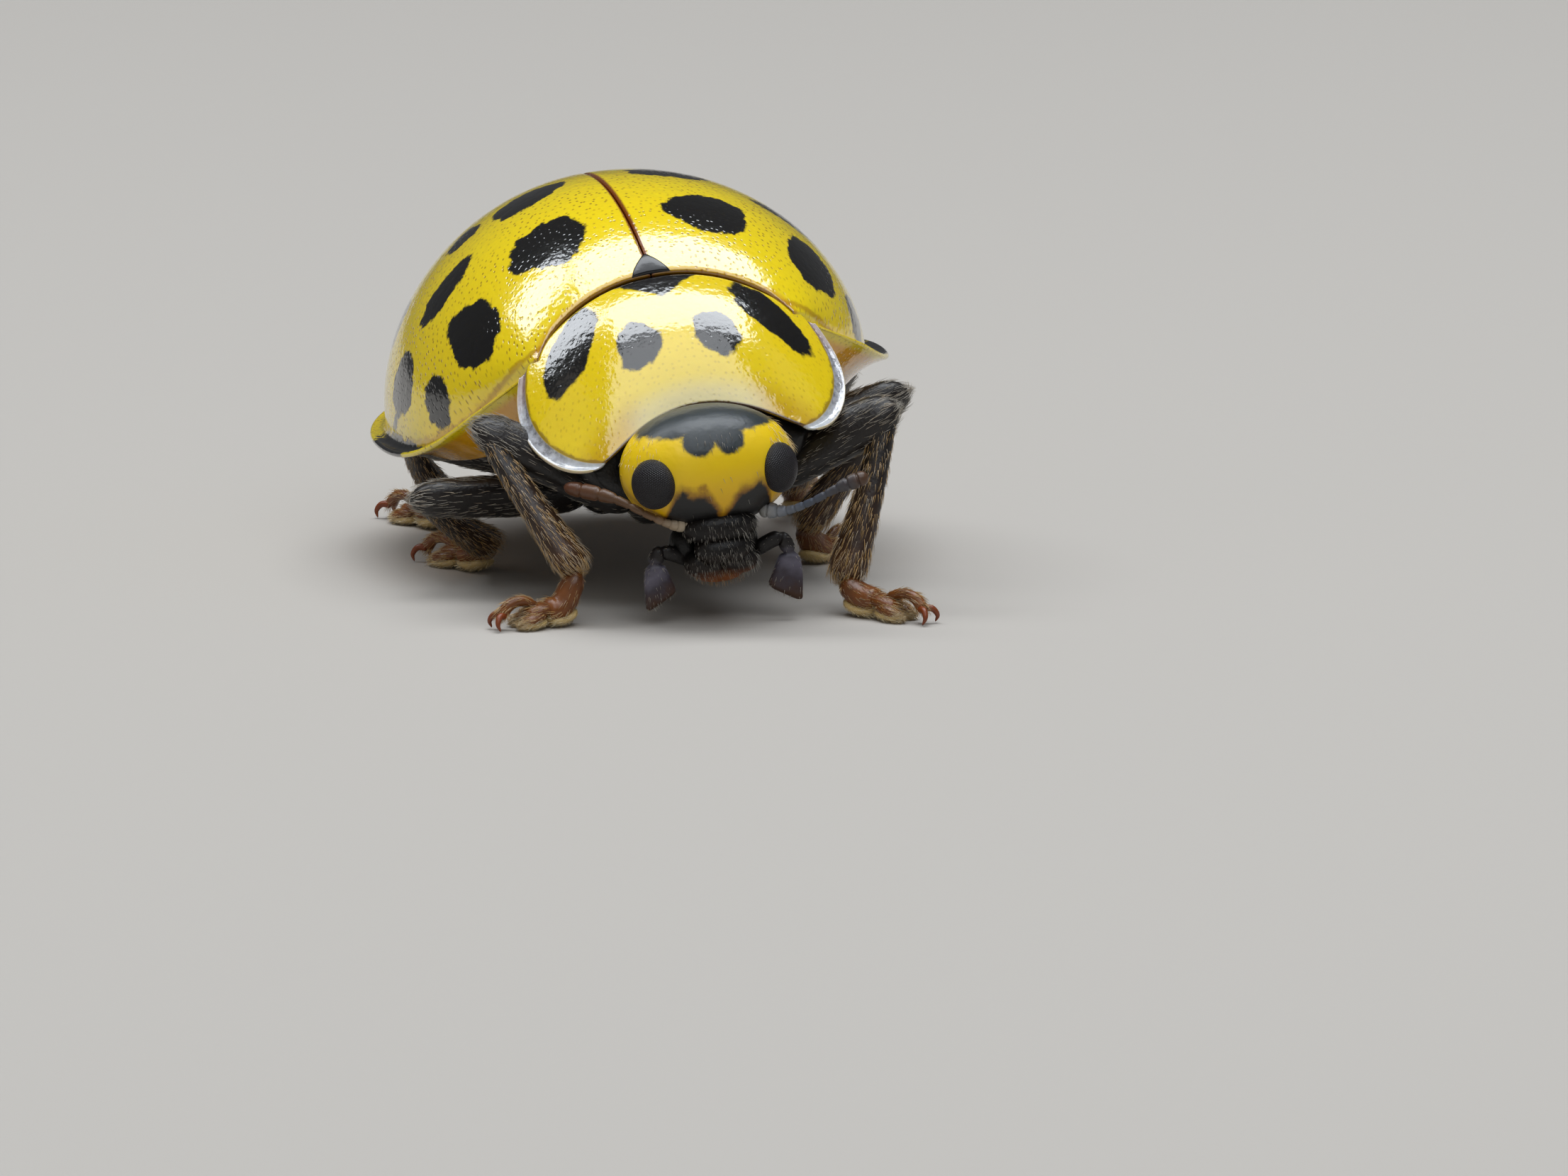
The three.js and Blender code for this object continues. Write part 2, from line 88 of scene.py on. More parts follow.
def add_camera():
    """A long lens VIEW_DISTANCE from the body's origin, rolled against the body's lean. It sees
    VIEW_WIDTH millimetres across, and VIEW_AIM from the origin lies in the middle."""
    level, climb = math.cos(VIEW_HEIGHT), math.sin(VIEW_HEIGHT)
    sideways, ahead = math.sin(VIEW_AZIMUTH), math.cos(VIEW_AZIMUTH)
    back = np.array([sideways * level, -ahead * level, climb])
    right = np.array([ahead, sideways, 0.0])
    up = np.cross(back, right)
    screen_right = right * math.cos(VIEW_ROLL) - up * math.sin(VIEW_ROLL)
    screen_up = right * math.sin(VIEW_ROLL) + up * math.cos(VIEW_ROLL)
    eye = back * VIEW_DISTANCE
    aim = screen_right * VIEW_AIM[0] + screen_up * VIEW_AIM[1]
    axis_z = turned(unit(eye - aim))
    axis_x = turned(screen_right)
    axis_x = unit(axis_x - axis_z * (axis_x @ axis_z))
    lens = bpy.data.cameras.new("camera")
    lens.sensor_width = 36
    lens.lens = lens.sensor_width * VIEW_DISTANCE / VIEW_WIDTH
    lens.clip_start = 0.001
    lens.clip_end = 10
    axes = [axis_x, np.cross(axis_z, axis_x), axis_z]
    bpy.context.scene.camera = placed("camera", lens, axes, settled(eye))


add_camera()


def linear(hex_code):
    """An sRGB hex code as linear red, green, blue and alpha."""
    srgb = [int(hex_code[i : i + 2], 16) / 255 for i in (1, 3, 5)]
    return [c / 12.92 if c <= 0.04045 else ((c + 0.055) / 1.055) ** 2.4 for c in srgb] + [1.0]


def node(tree, kind, inputs, stops=(), **settings):
    """Adds a shader node, sets its properties, fills its inputs with values, hex colours, or links
    from sockets or other nodes' first outputs, and gives a colour ramp its stops, ends first."""
    made = tree.nodes.new(kind)
    for name, value in settings.items():
        setattr(made, name, value)
    for name, value in inputs.items():
        if isinstance(value, bpy.types.Node):
            value = value.outputs[0]
        if isinstance(value, bpy.types.NodeSocket):
            tree.links.new(value, made.inputs[name])
        else:
            value = linear(value) if isinstance(value, str) else value
            made.inputs[name].default_value = value
    for i, (at, tint) in enumerate(stops):
        stop = made.color_ramp.elements[i] if i < 2 else made.color_ramp.elements.new(at)
        stop.position, stop.color = at, linear(tint)
    return made


def new_material(name):
    """An empty node material and its node tree."""
    material = bpy.data.materials.new(name)
    material.use_nodes = True
    material.node_tree.nodes.clear()
    return material, material.node_tree


def grid_faces(rows, columns, wrap=False):
    """The quads of a grid of points, row by row; wrap joins the last column to the first."""
    i = np.arange(rows - 1)[:, None] * columns
    j = np.arange(columns if wrap else columns - 1)[None, :]
    k = (j + 1) % columns
    return np.stack([i + j, i + k, i + k + columns, i + j + columns], -1).reshape(-1, 4)


def new_object(name, points, faces, material):
    """A smooth-shaded mesh object from points in metres and a list of arrays of faces."""
    mesh = bpy.data.meshes.new(name)
    points = np.asarray(points, np.float32).reshape(-1, 3)
    corners = np.concatenate([part.ravel() for part in faces]).astype(np.int32)
    sizes = np.concatenate([np.full(len(part), part.shape[1]) for part in faces])
    mesh.vertices.add(len(points))
    mesh.vertices.foreach_set("co", points.ravel())
    mesh.loops.add(len(corners))
    mesh.loops.foreach_set("vertex_index", corners)
    mesh.polygons.add(len(sizes))
    mesh.polygons.foreach_set("loop_start", (np.cumsum(sizes) - sizes).astype(np.int32))
    mesh.update(calc_edges=True)
    mesh.polygons.foreach_set("use_smooth", np.ones(len(sizes), bool))
    mesh.materials.append(material)
    made = bpy.data.objects.new(name, mesh)
    bpy.context.scene.collection.objects.link(made)
    return made


# The stand-in for a museum table: matt pale card.
card, tree = new_material("matt pale card")
shader = node(tree, "ShaderNodeBsdfPrincipled", {"Base Color": "#b3aea7", "Roughness": 0.9})
node(tree, "ShaderNodeOutputMaterial", {"Surface": shader})
steps = np.linspace(-0.6, 0.6, 25)
across, along = np.meshgrid(steps, steps)
sheet = np.stack([across, along, 0 * across], -1)
floor = new_object("floor", sheet, [grid_faces(25, 25)], card)


def add_softbox(name, place, size, power, colour):
    """A rectangular area light of the given sides that faces the beetle from a place in metres."""
    lamp = bpy.data.lights.new(name, "AREA")
    lamp.shape = "RECTANGLE"
    lamp.size, lamp.size_y = size
    lamp.energy = power
    lamp.color = linear(colour)[:3]
    way = unit(np.array(place))
    side = unit(np.cross([0, 1, 0], way))
    placed(name, lamp, [side, np.cross(way, side), way], place)


# Three boxes overhead draw the long pale highlights on the wing cases and the shield. Two wide
# fills and a low one in front lighten the flanks, the mouth and the feet.
add_softbox("top_softbox", (0.012, 0.0125, 0.1), (0.09, 0.049), 0.086, "#f4f9ff")
add_softbox("top_left_softbox", (-0.06, 0.038, 0.1), (0.052, 0.034), 0.034, "#f4f9ff")
add_softbox("front_softbox", (0.0, -0.0565, 0.09), (0.09, 0.091), 0.054, "#f4f9ff")
add_softbox("left_fill", (-0.2, -0.08, 0.1), (0.26, 0.18), 0.04, "#fff6ea")
add_softbox("right_fill", (0.2, -0.08, 0.1), (0.26, 0.18), 0.03, "#f2f5ff")
add_softbox("front_fill", (-0.06, -0.2, 0.03), (0.12, 0.05), 0.014, "#fffaf2")

world = bpy.data.worlds.new("studio")
world.use_nodes = True
world.node_tree.nodes["Background"].inputs["Color"].default_value = linear("#c8cacd")
world.node_tree.nodes["Background"].inputs["Strength"].default_value = 0.13
bpy.context.scene.world = world
bpy.context.scene.view_settings.view_transform = "Standard"

# ---- Wing cases
# The two hard fore wings, domed shells of yellow cuticle that meet in a straight seam. Each turns
# under at its flared rim into a narrow band along the belly. They are dotted with fine pits, and
# eleven black spots lie on each.

RIM_HALF = 1.75  # half the body's width, over the rims
WIDEST = 0.35  # y where the body is widest
BASE = -1.0  # y of the seam's front end
TIP = 2.2  # and of its hind end
OUTLINE_FRONT = -1.45  # y where the rim's oval would close, under the shield
SHOULDER_RISE = 1.06  # how far the rim's line would climb by there
CREST = 1.55  # height of the seam's highest point, its y, and its reach to the front and back
CREST_AT = 0.3
CREST_FRONT = 1.84
CREST_HIND = 1.95
FLARE = 0.12  # width of the thin flared rim
RIM_DROP = 0.07  # height of the wall's foot above the rim's edge
UNDERRIM = 0.32  # width of the band turned in under the rim
BASE_BOW = 0.15  # how far the base and the shield's hind edge curve, per square of x
HIND_HALF = 1.03  # the shield's hind edge: half its width, its height, and its fall at the sides
HIND_TOP = 1.08
HIND_FALL = 0.49


def front_reach(y):
    """0 at the widest line or behind it, to 1 where the rim's oval closes in front."""
    return np.clip((WIDEST - y) / (WIDEST - OUTLINE_FRONT), 0, 1)


def rim_half(y):
    """Half width of the rim's oval: RIM_HALF * (1 - reach^p)^(1/p), p 2.2 in front, 2.1 behind."""
    front = y < WIDEST
    reach = np.where(front, front_reach(y), np.clip((y - WIDEST) / (TIP - WIDEST), 0, 1))
    power = np.where(front, 2.2, 2.1)
    return RIM_HALF * np.maximum(1 - reach**power, 0) ** (1 / power)


def rim_level(y):
    """Height of the rim's edge: 0 behind, climbing with the cube of the reach to the shoulders."""
    return SHOULDER_RISE * front_reach(y) ** 3


def crest_height(y):
    """Height of the seam: two quarter ellipses that meet at CREST_AT."""
    length = np.where(y < CREST_AT, CREST_FRONT, CREST_HIND)
    return CREST * np.sqrt(np.maximum(1 - ((y - CREST_AT) / length) ** 2, 0))


def rim_share(y):
    """Rims grow narrower where the body does: 1, or the half width over 0.8."""
    return np.minimum(1, rim_half(y) / 0.8)


def wall_half(y):
    """Half width of the dome at the foot of its wall, inside the flared rim."""
    return rim_half(y) - FLARE * rim_share(y)


def hind_level(x):
    """Height of the shield's hind edge: HIND_TOP, less HIND_FALL * (distance from middle)^2.2."""
    return HIND_TOP - HIND_FALL * np.abs(x / HIND_HALF) ** 2.2


def edged(count, first, last, total):
    """count even shares from 0 to 1, with closer ones within `first` and `last` mm of the ends."""
    close = np.array([0, 0.08, 0.25, 0.5, 0.8])
    middle = np.linspace(0, 1, count)
    lead, trail = first / total, last / total
    middle = middle[(middle > lead * 1.1) & (middle < 1 - trail * 1.1)]
    return np.concatenate([close * lead, middle, 1 - close[::-1] * trail])


def arc_length(points, axis):
    """Distance travelled along one axis of a grid, starting at 0."""
    steps = np.linalg.norm(np.diff(points, axis=axis), axis=-1)
    start = np.zeros_like(np.take(steps, [0], axis))
    return np.concatenate([start, np.cumsum(steps, axis)], axis)


def laid_out(skin):
    """A skin's distances across from its first column, along from its first row, and in from its
    nearest border, and its unit normals, which point into the body from a skin that faces up."""
    across, along = arc_length(skin, 1), arc_length(skin, 0)
    edge = np.minimum.reduce([across, across[:, -1:] - across, along, along[-1:] - along])
    inward = unit(np.cross(np.gradient(skin, axis=1), np.gradient(skin, axis=0)))
    row, column = (n // 3 for n in edge.shape)
    return across, along, edge, -inward if inward[row, column, 2] > 0 else inward


def plate(points, inward, depth, edge):
    """A thick sheet with rounded edges. `points` is its outer skin, and `edge` each point's
    distance to the sheet's nearest border. Within r of the border, at most 0.03 mm, both skins are
    sunk by r - sqrt(r^2 - (r - edge)^2), and they meet at the border. Returns points and faces."""
    radius = np.minimum(depth / 2, 0.03)
    near = np.clip(radius - edge, 0, radius)
    sink = radius - np.sqrt(np.maximum(radius**2 - near**2, 0))
    sink = np.where(edge < 1e-6, depth / 2, sink)
    outer = points + inward * sink[..., None]
    inner = points + inward * (depth - sink)[..., None]
    rows, columns = points.shape[:2]
    index = np.arange(rows * columns).reshape(rows, columns)
    under = index + rows * columns
    for border in (np.s_[0], np.s_[-1], np.s_[:, 0], np.s_[:, -1]):
        under[border] = index[border]
    quads = grid_faces(rows, columns)
    faces = [quads, under.reshape(-1)[quads][:, ::-1]]
    return np.concatenate([outer.reshape(-1, 3), inner.reshape(-1, 3)]), faces


def facing_out(points, faces):
    """The faces, turned round if the closed surface they make has a negative volume."""
    fans = [f[:, [0, i, i + 1]] for f in faces for i in range(1, f.shape[1] - 1)]
    a, b, c = points[np.concatenate(fans)].swapaxes(0, 1)
    return faces if (a * np.cross(b, c)).sum() > 0 else [f[:, ::-1] for f in faces]


def solid_piece(name, surface, material, fields, place=settled, node_names=None):
    """A closed piece: settled on the floor, loose points dropped, faces out, with its CAD nodes
    replaced. `fields` are numbers at each point, kept as named attributes for the material."""
    points, faces = surface
    faces = facing_out(points, faces)
    used = np.unique(np.concatenate([f.ravel() for f in faces]))
    fresh = np.zeros(len(points), int)
    fresh[used] = np.arange(len(used))
    made = new_object(name + "_surface", place(points[used]), [fresh[f] for f in faces], material)
    for title, values in fields.items():
        layer = made.data.attributes.new(title, "FLOAT", "POINT")
        layer.data.foreach_set("value", np.asarray(values, np.float32).ravel()[used])
    node_names = node_names or [name]
    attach(made, "root")
    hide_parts(*node_names)
    return made


def plate_piece(name, skin, inward, depth, edge, material, fields):
    """A piece that is one plate. A field is the same on both of its skins, or has one for each."""
    fields = {title: np.broadcast_to(part, (2, *edge.shape)) for title, part in fields.items()}
    solid_piece(name, plate(skin, inward, depth, edge), material, fields)


def blot(u, v, centre, half, angle=0.0, phase=0.0):
    """Rough signed distance in mm to an uneven oval patch: negative inside. The oval's radius
    waves by 0.05 with three, five and nine humps."""
    c, s = math.cos(math.radians(angle)), math.sin(math.radians(angle))
    du, dv = u - centre[0], v - centre[1]
    a, b = (du * c + dv * s) / half[0], (dv * c - du * s) / half[1]
    bearing = np.arctan2(b, a)
    humps = ((1.0, 3, 1.0), (0.6, 5, 2.3), (0.4, 9, 4.1))
    wave = 1 + 0.05 * sum(size * np.sin(n * bearing + turn * phase) for size, n, turn in humps)
    return (np.hypot(a, b) / wave - 1) * min(half)


def stroke(u, v, start, end, width):
    """Distance in mm to a straight stroke of the given half width: negative inside."""
    start, along = np.array(start), np.subtract(end, start)
    share = ((u - start[0]) * along[0] + (v - start[1]) * along[1]) / (along @ along)
    share = np.clip(share, 0, 1)
    return np.hypot(u - start[0] - share * along[0], v - start[1] - share * along[1]) - width


# Spots by their distance from the seam over the dome, their y, half sizes and slant.
CASE_SPOTS = [
    ((0.58, -0.44), (0.3, 0.245), 12),
    ((1.38, -0.57), (0.23, 0.3), -25),
    ((1.97, -0.44), (0.17, 0.165), 20),
    ((0.5, 0.38), (0.28, 0.21), -8),
    ((1.36, 0.09), (0.3, 0.145), 4),
    ((2.07, 0.15), (0.22, 0.21), 25),
    ((0.98, 0.55), (0.15, 0.14), 0),
    ((1.68, 0.84), (0.2, 0.17), 10),
    ((0.6, 1.05), (0.24, 0.19), 10),
    ((1.3, 1.22), (0.21, 0.17), 35),
    ((0.52, 1.62), (0.2, 0.14), 30),
]
SEAM_HALF = 0.003  # half the gap between the two cases
TIP_GAP = 0.0003  # how far short of the tip the outline ends, where it would close to a point
CLOSING = 1.6  # y from which the tip closes
ROLL = 0.2  # how far behind the base its roll down to the shield's edge begins
BEAD = 0.02  # half thickness of the rim's bead
BEAD_TO_WALL = 0.17  # from the bead in to the foot of the wall, where the edge's blot lies
THIN, THICK = 0.012, 0.06  # thickness of the shell at the rim and above it


def wing_case(side):
    """Outer skin of one wing case, row by row from base to tip. Across the dome, x = half width *
    sin and z = foot + rise * (1 - sin^2)^fullness; then a hollow to the rim, a half-round bead,
    and the band underneath. The base is rolled down onto the shield's hind edge over ROLL, and
    tucked under it at the shoulders, and the tip is closed by the root of 1 - reach^6. The left
    one sits a little higher at its rim, and is fuller."""
    fullness, lift = (0.5, 0.07) if side > 0 else (0.56, 0.0)
    v = edged(190, 0.03, 0.03, 3.3)[:, None]
    q = edged(120, 0.03, 0.0001, 2.6)
    across = np.sin(q * math.pi / 2)[None, :]
    rough = BASE + (TIP - TIP_GAP - BASE) * np.sin(v * math.pi / 2)
    bow = BASE_BOW * (1 - v) ** 3

    def station(x):
        return rough - bow * x**2

    def raised(y):
        return rim_level(y) + lift * np.exp(-((y / 0.9) ** 2))

    y = station(wall_half(rough) * across)
    foot = raised(y) + RIM_DROP * rim_share(y)
    closing = np.sqrt(1 - np.clip((y - CLOSING) / (TIP - CLOSING), 0, 1) ** 6)
    rise = np.maximum(crest_height(y) - foot, 0) * closing
    x = wall_half(y) * across
    dome = np.stack([x, y, foot + rise * (1 - across**2) ** fullness], -1)
    away = np.clip((y - y[:1]) / ROLL, 0, 1)
    tuck = 0.012 - 0.07 * np.clip((x[:1] - 0.75) / 0.25, 0, 1)
    drop = np.maximum(dome[:1, :, 2] - hind_level(x[:1]) - tuck, 0)
    dome[..., 2] -= drop * (1 - away) ** 2

    y = station(wall_half(rough))
    ease = np.clip(v / 0.09, 0, 1)
    share, level = rim_share(y) * (0.15 + 0.85 * ease**2 * (3 - 2 * ease)), raised(y)
    wall = wall_half(y)
    rim = wall + (FLARE + lift * 0.5) * share
    bead = BEAD * share
    t = np.linspace(0, 1, 14)[None, 1:]
    pull = 2 * t * (1 - t)
    hollow_x = wall * (1 - t) ** 2 + (wall + 0.01 * share) * pull + (rim - bead) * t**2
    hollow_z = level + (RIM_DROP * (1 - t) ** 2 - 0.035 * pull) * share
    turn = np.linspace(0, math.pi, 12)[None, 1:]
    bead_x = rim - bead + bead * np.sin(turn)
    bead_z = level - bead + bead * np.cos(turn)
    t = edged(12, 0.0001, 0.02, 0.2)[None, 1:]
    band_x = (rim - bead) * (1 - t) + (rim - UNDERRIM * share) * t
    band_z = (level - 2 * bead) * (1 - t) + (level * 0.5 - 0.1 * share) * t
    band_z = band_z + 0.03 * share * np.sin(t * math.pi)
    skin = [dome]
    for part_x, part_z in ((hollow_x, hollow_z), (bead_x, bead_z), (band_x, band_z)):
        skin.append(np.stack([part_x, np.broadcast_to(y, part_x.shape), part_z], -1))
    skin = np.concatenate(skin, 1)
    skin[..., 0] = side * (skin[..., 0] + SEAM_HALF)
    return skin


def add_wing_case(name, side, phase):
    """One wing case as a plate, with the fields that its markings follow. A blot and a stroke
    from it mark the rim below the shoulder."""
    skin = wing_case(side)
    across, along, edge, inward = laid_out(skin)
    bead_at = np.argmax(np.abs(skin[..., 0]), 1)[:, None]
    to_bead = np.take_along_axis(across, bead_at, 1)
    rim = to_bead - across
    from_foot = across - (to_bead - BEAD_TO_WALL)
    depth = THIN + (THICK - THIN) * np.clip((rim - 0.1) / 0.25, 0, 1)
    y = skin[..., 1]
    spots = [blot(across, y, *spot, phase=phase + i) for i, spot in enumerate(CASE_SPOTS)]
    spots.append(stroke(from_foot, y, (-0.2, 0.14), (0.0, 0.32), 0.035))
    spots.append(blot(from_foot, y, (0.105, 0.14), (0.11, 0.46), phase=phase))
    fields = {"spot": np.minimum.reduce(spots), "over": across, "down": along, "rim": rim}
    plate_piece(name, skin, inward, depth, edge, wing_case_cuticle, fields)


def share_of(tree, title, low, high, roughen=None, most=1.0):
    """0 to `most` as a named field goes from low to high, its edge made ragged by a noise."""
    value = node(tree, "ShaderNodeAttribute", {}, attribute_name=title).outputs["Fac"]
    if roughen is not None:
        value = node(tree, "ShaderNodeMath", {0: value, 1: roughen}, operation="ADD")
    inputs = {"Value": value, "From Min": low, "From Max": high, "To Max": most}
    return node(tree, "ShaderNodeMapRange", inputs, interpolation_type="SMOOTHSTEP")


def painted(tree, ground, layers):
    """A ground colour under layers of tint, each as strong as its share of the surface says."""
    for share, tint in layers:
        inputs = {0: share, 6: ground, 7: tint}
        ground = node(tree, "ShaderNodeMix", inputs, data_type="RGBA").outputs[2]
    return ground


def yellow_cuticle(name, tints, paint, tear, pits, coat, gloss=0.2, ior=1.3):
    """Glossy insect cuticle: hard clear skin over yellow pigment. Fine brown pits lie 0.055 mm
    apart, as strong as `pits` says, a ripple of 0.05 mm breaks the edges of the reflections, and a
    grain finer than 0.02 mm makes them sparkle. The clear skin's index is set high, so that plain
    soft light shows on it as strongly as a window does. `paint` adds the piece's own markings,
    whose edges wander by `tear` mm."""
    material, tree = new_material(name)
    place = node(tree, "ShaderNodeTexCoord", {}).outputs["Object"]
    ragged, cloud, patchy, grain, ripple, swell = (
        node(tree, "ShaderNodeTexNoise", {
            "Vector": place, "Scale": 1 / (size * MM), "Detail": detail, "Roughness": rough,
        })
        for size, detail, rough in (
            (0.08, 3, 0.6), (0.7, 3, 0.5), (0.35, 1, 0.5), (0.014, 2, 0.5), (0.05, 1, 0.5),
            (0.16, 1, 0.5),
        )
    )
    ragged = node(tree, "ShaderNodeMapRange", {
        "Value": ragged, "To Min": -tear / 2, "To Max": tear / 2,
    })
    over, down = (
        node(tree, "ShaderNodeAttribute", {}, attribute_name=title).outputs["Fac"]
        for title in ("over", "down")
    )
    plan = node(tree, "ShaderNodeCombineXYZ", {"X": over, "Y": down})
    cells = node(tree, "ShaderNodeTexVoronoi", {
        "Vector": plan, "Scale": 1 / 0.055, "Randomness": 0.8,
    }, voronoi_dimensions="2D")
    patches = node(tree, "ShaderNodeMapRange", {
        "Value": patchy, "From Min": 0.35, "From Max": 0.65, "To Min": 0.35 * pits, "To Max": pits,
    })
    pit = node(tree, "ShaderNodeMapRange", {
        "Value": cells, "From Min": 0.09, "From Max": 0.22, "To Min": patches, "To Max": 0.0,
    })
    stain = node(tree, "ShaderNodeMath", {0: pit, 1: 0.85}, operation="MULTIPLY")
    ground = painted(tree, tints[0], [(cloud, tints[1]), (stain, "#7c5206")])
    height = 0.0
    for wave, share in ((pit, -0.6), (grain, 0.2), (ripple, 1.0), (swell, 1.2)):
        inputs = {0: wave, 1: share, 2: height}
        height = node(tree, "ShaderNodeMath", inputs, operation="MULTIPLY_ADD")
    bump = node(tree, "ShaderNodeBump", {"Height": height, "Strength": 0.6, "Distance": 0.004 * MM})
    shader = node(tree, "ShaderNodeBsdfPrincipled", {
        "Base Color": paint(tree, ground, ragged),
        "Roughness": gloss, "Normal": bump, "IOR": ior,
        "Subsurface Weight": 0.12, "Subsurface Radius": (1.0, 0.6, 0.12),
        "Subsurface Scale": 0.12 * MM,
        "Coat Weight": coat, "Coat Roughness": 0.08, "Coat IOR": 1.85, "Coat Normal": bump,
    })
    node(tree, "ShaderNodeOutputMaterial", {"Surface": shader})
    return material


def paint_wing_case(tree, ground, ragged):
    """A red-brown line down the seam; at the base an orange band and a thin brown line of painted
    shade at its very edge, where it meets the shield; a brown line in the hollow inside the rim,
    orange-yellow under it, and black spots."""
    hollow = share_of(tree, "rim", 0.2, 0.16, ragged, 0.6)
    return painted(tree, ground, [
        (share_of(tree, "rim", 0.1, 0.14, most=hollow), "#a4700a"),
        (share_of(tree, "rim", -0.03, -0.1), "#f0a812"),
        (share_of(tree, "over", 0.03, 0.01), "#87450a"),
        (share_of(tree, "down", 0.07, 0.02, most=0.5), "#c27a0e"),
        # Painted shade: a thin brown line at the base's very edge, where it meets the shield.
        (share_of(tree, "down", 0.02, 0.006, most=0.8), "#7d4a0c"),
        (share_of(tree, "spot", 0.012, -0.012, ragged), "#0b0907"),
    ])


# Pitted cuticle: a wet-looking shine that breaks up over the pits.
wing_case_cuticle = yellow_cuticle(
    "pitted yellow cuticle", ("#f7da08", "#efcf05"), paint_wing_case, tear=0.11, pits=0.9, coat=1.0
)
add_wing_case("wing_case_left", 1, 0.0)
add_wing_case("wing_case_right", -1, 1.7)

# ---- Scutellum
# The small black triangle of the back that shows between the bases of the wing cases. It is one
# smooth, glossy plate, slightly crowned.

SCUTELLUM_HALF = 0.14
SCUTELLUM_LENGTH = 0.15
SCUTELLUM_DEPTH = 0.1
OVERLAP = 0.003  # how far it reaches in front of the seam


def scutellum():
    """A triangle that narrows to the rear as 1 - t^1.5, crowned by a parabola each way."""
    down, over = edged(30, 0.02, 0.02, 0.2), 2 * edged(34, 0.02, 0.02, 0.3) - 1
    t, s = np.meshgrid(down, over, indexing="ij")
    x = s * SCUTELLUM_HALF * (1 - 0.97 * t**1.5)
    y = BASE - OVERLAP + SCUTELLUM_LENGTH * t
    z = crest_height(y) + 0.008 - 0.3 * x**2 + 0.014 * (1 - s**2) * np.sin(t * math.pi)
    return np.stack([x, y, z], -1)


# Glossy black cuticle: a deep shine over a faint brown-black cloud, with pebbles of 0.03 mm.
gloss_black, tree = new_material("glossy black cuticle")
place = node(tree, "ShaderNodeTexCoord", {}).outputs["Object"]
cloud = node(tree, "ShaderNodeTexNoise", {"Vector": place, "Scale": 1 / (0.12 * MM), "Detail": 4.0})
pebbles = node(tree, "ShaderNodeTexVoronoi", {"Vector": place, "Scale": 1 / (0.03 * MM)})
bump = node(tree, "ShaderNodeBump", {"Height": pebbles, "Strength": 0.6, "Distance": 0.001 * MM})
shader = node(tree, "ShaderNodeBsdfPrincipled", {
    "Base Color": painted(tree, "#0a0a0b", [(cloud, "#17171a")]),
    "Roughness": 0.22, "Normal": bump, "IOR": 1.55,
})
node(tree, "ShaderNodeOutputMaterial", {"Surface": shader})

skin = scutellum()
across, along, edge, inward = laid_out(skin)
plate_piece("scutellum", skin, inward, SCUTELLUM_DEPTH, edge, gloss_black, {})

# ---- Pronotum
# The broad shield behind the head, bent down at both sides. It is yellow with four black spots
# and a black triangle at the hind edge. Its flattened side rims are clear as glass, painted
# silver-grey with a painted sheen, and its front edge over the head is thin and pale, partly
# from a painted reflection. Thin dark lines of painted shade run along its front and hind edges.

# Lines across the shield, as half width, y, bow, height, fall and the power of the fall: the belly
# of its curves, and its front edge.
SHIELD_BELLY = (1.29, -1.57, 0.06, 0.85, 0.77, 2.2)
SHIELD_FRONT = (0.76, -1.8, -0.18, 0.33, 0.33, 2)
SHIELD_RIM = 0.07  # thickness at the sides
SHIELD_DEPTH = 0.2  # thickness in the middle
# Spots by their distance from the middle and from the hind edge, half sizes and slant.
SHIELD_SPOTS = [
    ((0.745, 0.285), (0.32, 0.195), 40),
    ((0.275, 0.585), (0.16, 0.18), 0),
]


def shield(s, t):
    """Quadratic curves from the hind edge (t = 0) through a belly to the front edge (t = 1), with
    s from -1 to 1 across. A line bows with s^2 and falls with a power of |s|, and |s|^10 and t^14
    round the front corners."""
    s, t = s[..., None], t[..., None]
    s, t = s * (1 - 0.045 * t**14), t * (1 - 0.055 * np.abs(s) ** 10)

    def line(half, y, bow, height, fall, power):
        return np.concatenate([half * s, y + bow * s**2, height - fall * np.abs(s) ** power], -1)

    x = HIND_HALF * s
    hind = np.concatenate([x, BASE - 0.004 - BASE_BOW * x**2, hind_level(x)], -1)
    belly, front = line(*SHIELD_BELLY), line(*SHIELD_FRONT)
    return hind * (1 - t) ** 2 + belly * 2 * t * (1 - t) + front * t**2


def add_pronotum():
    """The shield as a plate whose side rims are lifted into a bead with a hollow inside it."""
    down, over = edged(130, 0.03, 0.03, 1.2), 2 * edged(200, 0.03, 0.03, 3.2) - 1
    t, q = np.meshgrid(down, over, indexing="ij")
    skin = shield(np.sin(q * math.pi / 2), t)
    across, along, edge, inward = laid_out(skin)
    rim = np.minimum(across, across[:, -1:] - across)
    middle = across.shape[1] // 2
    sideways = across - across[:, middle : middle + 1]
    front = along[-1:] - along
    bead = 0.01 * np.exp(-(((rim - 0.012) / 0.01) ** 2))
    hollow = 0.014 * np.exp(-(((rim - 0.07) / 0.035) ** 2))
    skin = skin - inward * (bead - hollow)[..., None]
    depth = SHIELD_RIM + (SHIELD_DEPTH - SHIELD_RIM) * np.clip(rim / 0.5, 0, 1) ** 1.5
    depth = np.minimum(depth, 0.022 + 0.12 * front)
    spots = [
        blot(side * sideways, along, *spot, phase=2 * side + i)
        for side in (1, -1) for i, spot in enumerate(SHIELD_SPOTS)
    ]
    slope = np.abs(sideways) * 0.62 + along * 0.78 - 0.19
    spots.append(np.maximum(slope, along - 0.25))
    fields = {
        "spot": np.minimum.reduce(spots), "rim": rim, "front": np.stack([front, 0 * front]),
        "over": sideways, "down": along, "side": np.abs(sideways),
    }
    plate_piece("pronotum", skin, inward, depth, edge, pronotum_cuticle, fields)


